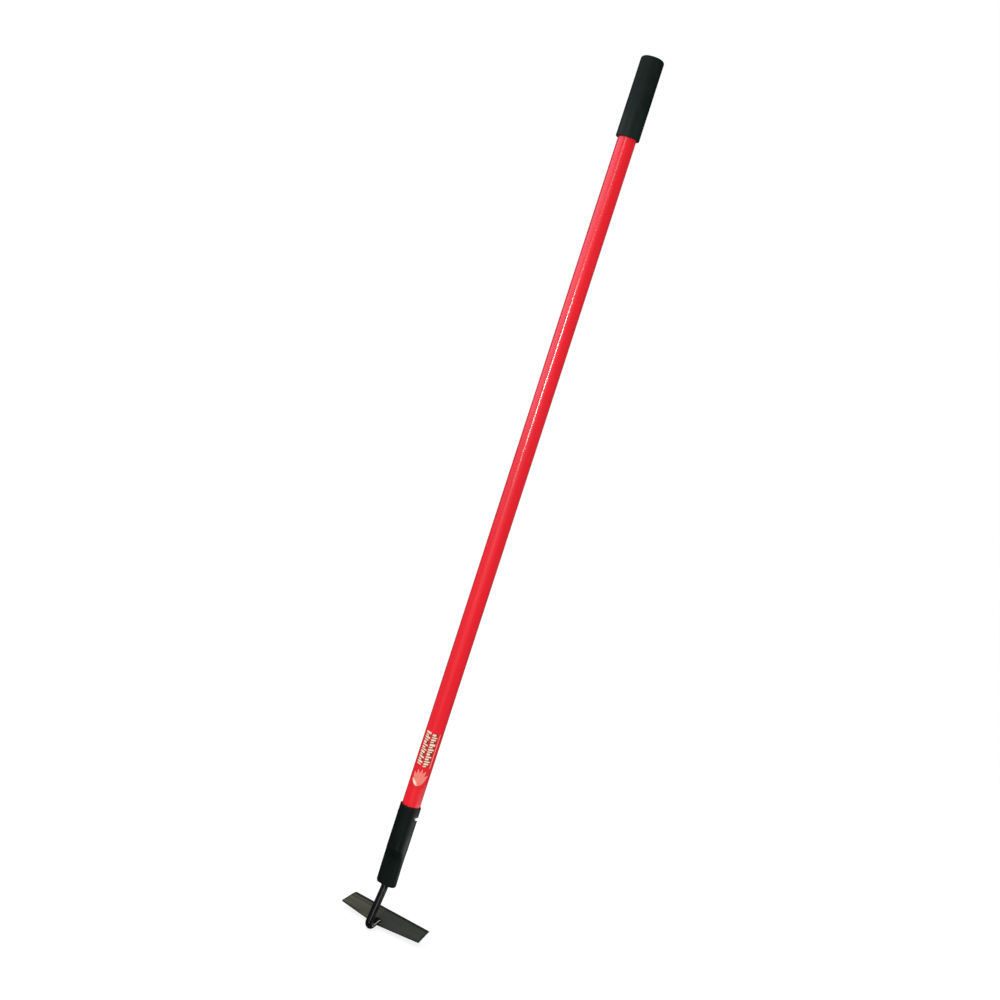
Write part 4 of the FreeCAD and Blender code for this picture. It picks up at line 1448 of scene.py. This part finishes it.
@dataclass
class Head:
    """Blade, gooseneck shank and the two beads that join them."""

    rise: float = 10.2 * MM
    side: float = 35.1 * MM
    edge_width: float = 162.3 * MM
    thick: float = 2.7 * MM
    bevel: float = 6 * MM
    # Width of the band of painted shade just before the ground bevel.
    shaded_band: float = 2.5 * MM
    land: float = 0.7 * MM
    arris: float = 0.35 * MM
    arris_steps: int = 3
    arris_turn: float = math.radians(40)
    warp: float = 0.18 * MM
    warp_pitch: Span = (3.1, 40.0)
    warp_seed: float = 4.7
    rod: float = 6.35 * MM
    flat: float = 0.9 * MM
    lap: float = 9 * MM
    rod_insert: float = 40 * MM
    neck_straight: float = 3.5 * MM
    neck_radius: float = 30 * MM
    lean: float = math.radians(12)
    goose_radius: float = 8 * MM
    end_round: float = 1.8 * MM
    nose: float = 7 * MM
    nose_drop: float = 0.42
    swell: float = 0.04
    bead_radius: float = 3.3 * MM
    bead_side: float = 5.7 * MM
    bead_lift: float = 0.9 * MM
    bead_start: float = 1.0 * MM
    bead_past: float = 0.6 * MM
    bead_sink: float = 0.05 * MM
    rod_sink: float = 0.06 * MM
    bead_segments: int = 40
    ripple_pitch: float = 1.5 * MM
    ripple_bow: float = 1.1 * MM
    ripple_rise: float = 0.12
    bead_wander: float = 0.07
    segments: int = 72
    columns: int = 64
    blade: BladeFrame = field(default_factory=BladeFrame)
    enamel: Finish = GlossEnamel("rod_enamel")
    weld: Finish = WeldEnamel("weld_enamel")
    half_width: float = field(init=False)

    def __post_init__(self) -> None:
        """Read the blade's width from the frame."""
        self.half_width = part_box("hoe_blade")[1].x

    def build(self) -> None:
        """Make the blade, the shank and both beads."""
        self.make_blade()
        self.make_shank()
        for side in Side:
            self.make_bead(side)

    def blade_row(self, share: float, out: Callable[[float], float]) -> list[Vector]:
        """One row of points across the blade.

        Args:
            share: 0 at the back edge, 1 at the cutting edge.
            out: Height out of the top face at each distance along the slope.

        Returns:
            The points from left to right.
        """
        half = self.half_width
        far = self.rise + self.side
        side_pitch, slope_pitch = self.warp_pitch
        row = []
        for place in spread(-1.0, 1.0, self.columns):
            back = self.rise * abs(place)
            along = back + (far - back) * share
            reach = half + (self.edge_width / 2 - half) * max(0.0, along - self.rise) / self.side
            dent = self.warp * noise.noise(Vector((place * side_pitch, along * slope_pitch, self.warp_seed)))
            row.append(self.blade.spot(place * reach, along, out(along) + dent * abs(place)))
        return row

    def make_blade(self) -> bpy.types.Object:
        """Make the plate with its peaked back edge and ground bevel, every arris eased.

        Returns:
            The plate.
        """
        far = self.rise + self.side
        start = (far - self.bevel) / far

        def top(along: float) -> float:
            """Height of the top face, which falls away along the bevel."""
            return -(self.thick - self.land) * max(0.0, along - (far - self.bevel)) / self.bevel

        skin = Skin("blade_plate")
        shares = spread(0.0, start, 12) + spread(start, 1.0, 4)[1:]
        upper = [self.blade_row(share, top) for share in shares]
        lower = [self.blade_row(share, lambda along: -self.thick) for share in reversed(shares)]
        rows = [[skin.mesh.verts.new(point) for point in row] for row in upper + lower]
        for near, next_row in zip(rows, rows[1:] + rows[:1]):
            for step in range(self.columns):
                skin.mesh.faces.new((near[step], near[step + 1], next_row[step + 1], next_row[step]))
        count = len(shares)
        for column in (0, self.columns):
            for step in range(count - 1):
                low, high = rows[step], rows[step + 1]
                under_high, under_low = rows[2 * count - 2 - step], rows[2 * count - 1 - step]
                skin.mesh.faces.new((low[column], high[column], under_high[column], under_low[column]))
        skin.ease_edges(self.arris, self.arris_steps, self.arris_turn)
        level = math.cos(self.blade.tilt)
        coat = BladeEnamel(
            "blade_enamel",
            half_width=self.half_width,
            back_level=self.blade.offset,
            back_slope=self.rise / self.half_width * level,
            side_level=self.blade.offset + self.rise * level,
            side_slope=(self.half_width - self.edge_width / 2) / self.side / level,
            bevel_start=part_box("hoe_blade")[1].y - (self.bevel + self.shaded_band) * level,
        )
        return skin.piece(coat, "painted_blade", "hoe_blade")

    def centre_line(self) -> list[tuple[Vector, Vector, float]]:
        """Places down the rod's centre line.

        Returns:
            For each place its point, its direction and its share of the tight bend's swell.
        """
        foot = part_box("ferrule")[0].z
        along = Vector((0.0, math.cos(self.blade.tilt), math.sin(self.blade.tilt)))
        down = Vector((0.0, -math.sin(self.lean), -math.cos(self.lean)))
        end = self.blade.spot(0.0, self.lap, self.rod - self.flat)
        neck = Vector((0.0, 0.0, foot - self.neck_straight))
        hub = neck - Vector((0.0, self.neck_radius, 0.0))
        straight = spread(foot + self.rod_insert, neck.z, 12)
        places = [(Vector((0.0, 0.0, level)), Vector((0, 0, -1)), 0.0) for level in straight]
        for turn in spread(0.0, self.lean, 8)[1:]:
            outward = Vector((0.0, math.cos(turn), -math.sin(turn)))
            heading = Vector((0.0, -math.sin(turn), -math.cos(turn)))
            places.append((hub + outward * self.neck_radius, heading, 0.0))
        leave = places[-1][0]
        gap = end - leave
        cross = down.y * along.z - down.z * along.y
        corner = leave + down * ((gap.y * along.z - gap.z * along.y) / cross)
        turn_by = math.pi / 2 + self.lean + self.blade.tilt
        setback = self.goose_radius * math.tan(turn_by / 2)
        bend_start = corner - down * setback
        for share in spread(0.0, 1.0, 22)[1:]:
            places.append((leave.lerp(bend_start, share), down, 0.0))
        forward = Vector((0.0, math.cos(self.lean), -math.sin(self.lean)))
        goose_hub = bend_start + forward * self.goose_radius
        arm = bend_start - goose_hub
        for share in spread(0.0, 1.0, 40)[1:]:
            spin = Matrix.Rotation(turn_by * share, 3, "X")
            places.append((goose_hub + spin @ arm, spin @ down, math.sin(math.pi * share)))
        lap_start = places[-1][0]
        for share in spread(0.0, 1.0, 30)[1:]:
            places.append((lap_start.lerp(end, share), along, 0.0))
        return places

    def forge(self, ring: Ring) -> Ring:
        """Draw the rod's end down towards the blade, as a forged nose.

        Args:
            ring: Ring of points anywhere along the rod.

        Returns:
            The ring, lower where it lies over the last stretch of the lap.
        """
        origin, slope, out = self.blade.directions()
        drawn = []
        for point in ring:
            height = (point - origin).dot(out)
            reach = (point - origin).dot(slope) - (self.lap - self.nose)
            share = min(1.0, max(0.0, reach / self.nose)) if abs(height) < 2 * self.rod else 0.0
            drawn.append(point - out * max(0.0, height) * self.nose_drop * share**1.5)
        return drawn

    def rod_ring(self, place: Vector, direction: Vector, radius: float, swell: float) -> Ring:
        """Ring round the rod; over the blade its underside is ground flat.

        Args:
            place: Middle of the ring.
            direction: Direction of the rod there.
            radius: Radius of the ring.
            swell: Share by which the tight bend widens it across.

        Returns:
            The ring of points.
        """
        inward = Vector((1.0, 0.0, 0.0)).cross(direction)
        origin, slope, out = self.blade.directions()
        ring = []
        for step in range(self.segments):
            spot = circle_point(step / self.segments, radius)
            point = place + Vector((spot.x * (1 + swell), 0, 0)) + inward * spot.y * (1 - 0.5 * swell)
            if (point - origin).dot(slope) > 0 and (place - origin).dot(slope) > -self.rod:
                point += out * max(0.0, -(point - origin).dot(out))
            ring.append(point)
        return ring

    def make_shank(self) -> bpy.types.Object:
        """Sweep the rod down its centre line and round both its ends.

        Returns:
            The rod.
        """
        places = self.centre_line()
        rings = []
        for place, direction, swell in places:
            rings.append(self.rod_ring(place, direction, self.rod, self.swell * swell))
        first, last = places[0], places[-1]
        for turn in spread(0.0, math.pi / 2, 6)[1:]:
            radius = self.rod - self.end_round * (1 - math.cos(turn))
            back = self.end_round * (math.sin(turn) - 1)
            rings.append(self.rod_ring(last[0] + last[1] * back, last[1], radius, 0.0))
        top = [self.rod_ring(first[0], first[1], self.rod - self.end_round, 0.0)]
        rings[0] = self.rod_ring(first[0] + first[1] * self.end_round, first[1], self.rod, 0.0)
        skin = Skin("shank_rod")
        skin.wrap(top + [self.forge(ring) for ring in rings], Ends.CAPPED)
        return skin.piece(self.enamel, "black_paint", "gooseneck_shank")

    def make_bead(self, side: Side) -> bpy.types.Object:
        """Lay one rippled bead in the corner between the rod and the blade.

        Args:
            side: Side of the rod.

        Returns:
            The bead.
        """
        first = self.bead_start
        last = self.lap + self.bead_past
        rod_height = self.rod - self.flat
        rings = []
        for along in spread(first, last, 90):
            share = (along - first) / (last - first)
            swell = math.sqrt(max(0.0, 1 - (2 * share - 1) ** 6))
            ring = []
            for step in range(self.bead_segments):
                turn = FULL_TURN * step / self.bead_segments
                bowed = along - self.ripple_bow * math.cos(turn)
                crest = abs(math.sin(math.pi * bowed / self.ripple_pitch))
                uneven = noise.noise(Vector((along * 700, math.cos(turn), side.value * 3.0)))
                ripple = 1 - self.ripple_rise + self.ripple_rise * crest**0.6
                radius = self.bead_radius * swell * (ripple + self.bead_wander * uneven)
                across = self.bead_side + radius * math.cos(turn)
                height = max(self.bead_lift + radius * math.sin(turn), -self.bead_sink)
                reach = math.hypot(across, height - rod_height)
                inside = self.rod - self.rod_sink
                if reach < inside:
                    across *= inside / reach
                    height = rod_height + (height - rod_height) * inside / reach
                ring.append(self.blade.spot(side.value * across, along, max(height, -self.bead_sink)))
            rings.append(ring)
        skin = Skin(f"bead_{side.name.lower()}")
        skin.wrap(rings, Ends.CAPPED)
        return skin.piece(self.weld, "painted_weld", f"blade_weld_{side.name.lower()}")


# The studio


class Reach(Enum):
    """What a lamp lights."""

    BODY = "the soft light on every surface"
    GLOSS = "only reflections, like a card held beside the piece"


@dataclass(frozen=True)
class Lamp:
    """Flat soft lamp that stands round the handle's axis and faces it."""

    name: str
    bearing: float
    distance: float
    level: float
    width: float
    height: float
    glow: float
    reach: Reach = Reach.GLOSS
    tint: Colour = (1.0, 1.0, 1.0)

    def build(self) -> bpy.types.Object:
        """Hang the lamp at its bearing, in degrees round from -Y towards +X.

        Returns:
            The lamp.
        """
        data = bpy.data.lights.new(self.name, "AREA")
        data.shape = "RECTANGLE"
        data.size = self.width
        data.size_y = self.height
        data.energy = math.pi * self.width * self.height * self.glow
        data.color = self.tint
        lamp = bpy.data.objects.new(self.name, data)
        angle = math.radians(self.bearing)
        place = Vector((math.sin(angle), -math.cos(angle), 0.0)) * self.distance
        lamp.location = place + Vector((0.0, 0.0, self.level))
        lamp.rotation_mode = "QUATERNION"
        lamp.rotation_quaternion = (-place).to_track_quat("-Z", "Y")
        lamp.visible_camera = False
        lamp.visible_diffuse = self.reach is Reach.BODY
        lamp.visible_glossy = self.reach is Reach.GLOSS
        bpy.context.scene.collection.objects.link(lamp)
        return lamp


@dataclass
class Studio:
    """Pale floor, soft light all round, lamps and the camera."""

    floor_rings: tuple[float, ...] = (0.5, 2.0, 8.0, 60.0)
    floor_segments: int = 96
    sky_seen: float = 1.0
    sky_soft: float = 0.78
    sky_gloss: float = 0.05
    sun_power: float = 0.5
    sun_spread: float = math.radians(60)
    sun_lean: Triple = (math.radians(20), math.radians(-16), 0.0)
    camera_place: Triple = (1.26662, -2.1895, 0.05827)
    heading: float = math.radians(30.413)
    look_down: float = math.radians(2.428)
    roll: float = math.radians(17.973)
    lens: float = 54.207
    sensor: float = 36.0
    clip: Span = (0.05, 200.0)
    floor_skin: Finish = FloorPaint("floor_paint")
    lamps: tuple[Lamp, ...] = (
        Lamp("front_key", 24, 2.7, 0.3, 1.6, 2.2, 2.2, Reach.BODY),
        Lamp("left_card", -55, 2.6, 1.1, 3.4, 2.0, 1.4, tint=(0.85, 0.8, 1.0)),
        Lamp("left_card_low", -50, 2.6, 0.85, 3.2, 2.2, 0.7, tint=(0.85, 0.8, 1.0)),
        Lamp("streak_strip", 2, 2.8, 0.34, 0.34, 0.5, 62.0),
        Lamp("grip_card", 14, 2.5, 1.15, 0.7, 0.5, 3.0),
        Lamp("foot_card", 26, 2.4, -1.68, 1.7, 0.5, 2.0),
        Lamp("rim_card", 152, 2.0, -1.35, 0.5, 0.55, 1.6),
        Lamp("rod_card", 36, 0.3, -0.732, 0.1, 0.115, 2.4),
        Lamp("rivet_card", 118, 0.3, -0.727, 0.34, 0.1, 8.0),
    )

    def build(self) -> None:
        """Lay the floor, light the room and set the camera."""
        self.make_floor()
        self.make_sky()
        self.make_sun()
        for lamp in self.lamps:
            lamp.build()
        self.make_camera()

    def make_floor(self) -> bpy.types.Object:
        """Lay a wide round floor under the hoe's lowest point.

        Returns:
            The floor.
        """
        level = CAD_BOX[0].z
        skin = bmesh.new()
        rows = []
        for reach in self.floor_rings:
            ring = [circle_point(step / self.floor_segments, reach) for step in range(self.floor_segments)]
            rows.append([skin.verts.new(point + Vector((0, 0, level))) for point in ring])
        skin.faces.new(rows[0])
        for inner, outer in zip(rows, rows[1:]):
            for step in range(self.floor_segments):
                after = (step + 1) % self.floor_segments
                skin.faces.new((inner[step], outer[step], outer[after], inner[after]))
        data = bpy.data.meshes.new("floor")
        skin.to_mesh(data)
        skin.free()
        data.materials.append(self.floor_skin.material())
        floor = bpy.data.objects.new("floor", data)
        floor.visible_glossy = False
        floor.visible_diffuse = False
        bpy.context.scene.collection.objects.link(floor)
        return floor

    def make_sky(self) -> None:
        """White all round to the eye, softer as light, and dimmer still in reflections."""
        world = bpy.data.worlds.new("studio_sky")
        bpy.context.scene.world = world
        world.use_nodes = True
        tree = world.node_tree
        sky = tree.nodes["Background"]
        rays = tree.nodes.new("ShaderNodeLightPath")
        soft = tree.nodes.new("ShaderNodeMix")
        soft.inputs["A"].default_value = self.sky_soft
        soft.inputs["B"].default_value = self.sky_gloss
        tree.links.new(rays.outputs["Is Glossy Ray"], soft.inputs["Factor"])
        seen = tree.nodes.new("ShaderNodeMix")
        seen.inputs["B"].default_value = self.sky_seen
        tree.links.new(rays.outputs["Is Camera Ray"], seen.inputs["Factor"])
        tree.links.new(soft.outputs["Result"], seen.inputs["A"])
        tree.links.new(seen.outputs["Result"], sky.inputs["Strength"])
        sky.inputs["Color"].default_value = (1.0, 1.0, 1.0, 1.0)

    def make_sun(self) -> None:
        """Hang a very soft overhead light that whitens the floor evenly."""
        data = bpy.data.lights.new("overhead", "SUN")
        data.energy = self.sun_power
        data.angle = self.sun_spread
        sun = bpy.data.objects.new("overhead", data)
        sun.visible_glossy = False
        sun.rotation_euler = self.sun_lean
        bpy.context.scene.collection.objects.link(sun)

    def make_camera(self) -> bpy.types.Object:
        """Stand the camera to the right of the hoe, rolled so that the handle leans.

        Returns:
            The camera.
        """
        sine, cosine = math.sin(self.heading), math.cos(self.heading)
        dip = math.sin(self.look_down)
        level = math.cos(self.look_down)
        forward = Vector((-sine * level, cosine * level, -dip))
        flat_right = Vector((cosine, sine, 0.0))
        flat_up = flat_right.cross(forward)
        right = flat_right * math.cos(self.roll) + flat_up * math.sin(self.roll)
        up = flat_up * math.cos(self.roll) - flat_right * math.sin(self.roll)
        data = bpy.data.cameras.new("camera")
        data.sensor_width = self.sensor
        data.lens = self.lens
        data.clip_start, data.clip_end = self.clip
        camera = bpy.data.objects.new("camera", data)
        turn = Matrix((right, up, -forward)).transposed().to_4x4()
        camera.matrix_world = Matrix.Translation(Vector(self.camera_place)) @ turn
        bpy.context.scene.collection.objects.link(camera)
        bpy.context.scene.camera = camera
        return camera


def main() -> None:
    """Build every sub-assembly in order, then the studio."""
    logging.basicConfig(level=logging.INFO, format="%(message)s")
    handle = Handle()
    handle.build()
    Grip(handle=handle).build()
    Socket().build()
    Head().build()
    Studio().build()
    bpy.context.scene.view_settings.view_transform = "Standard"


if __name__ == "__main__":
    main()
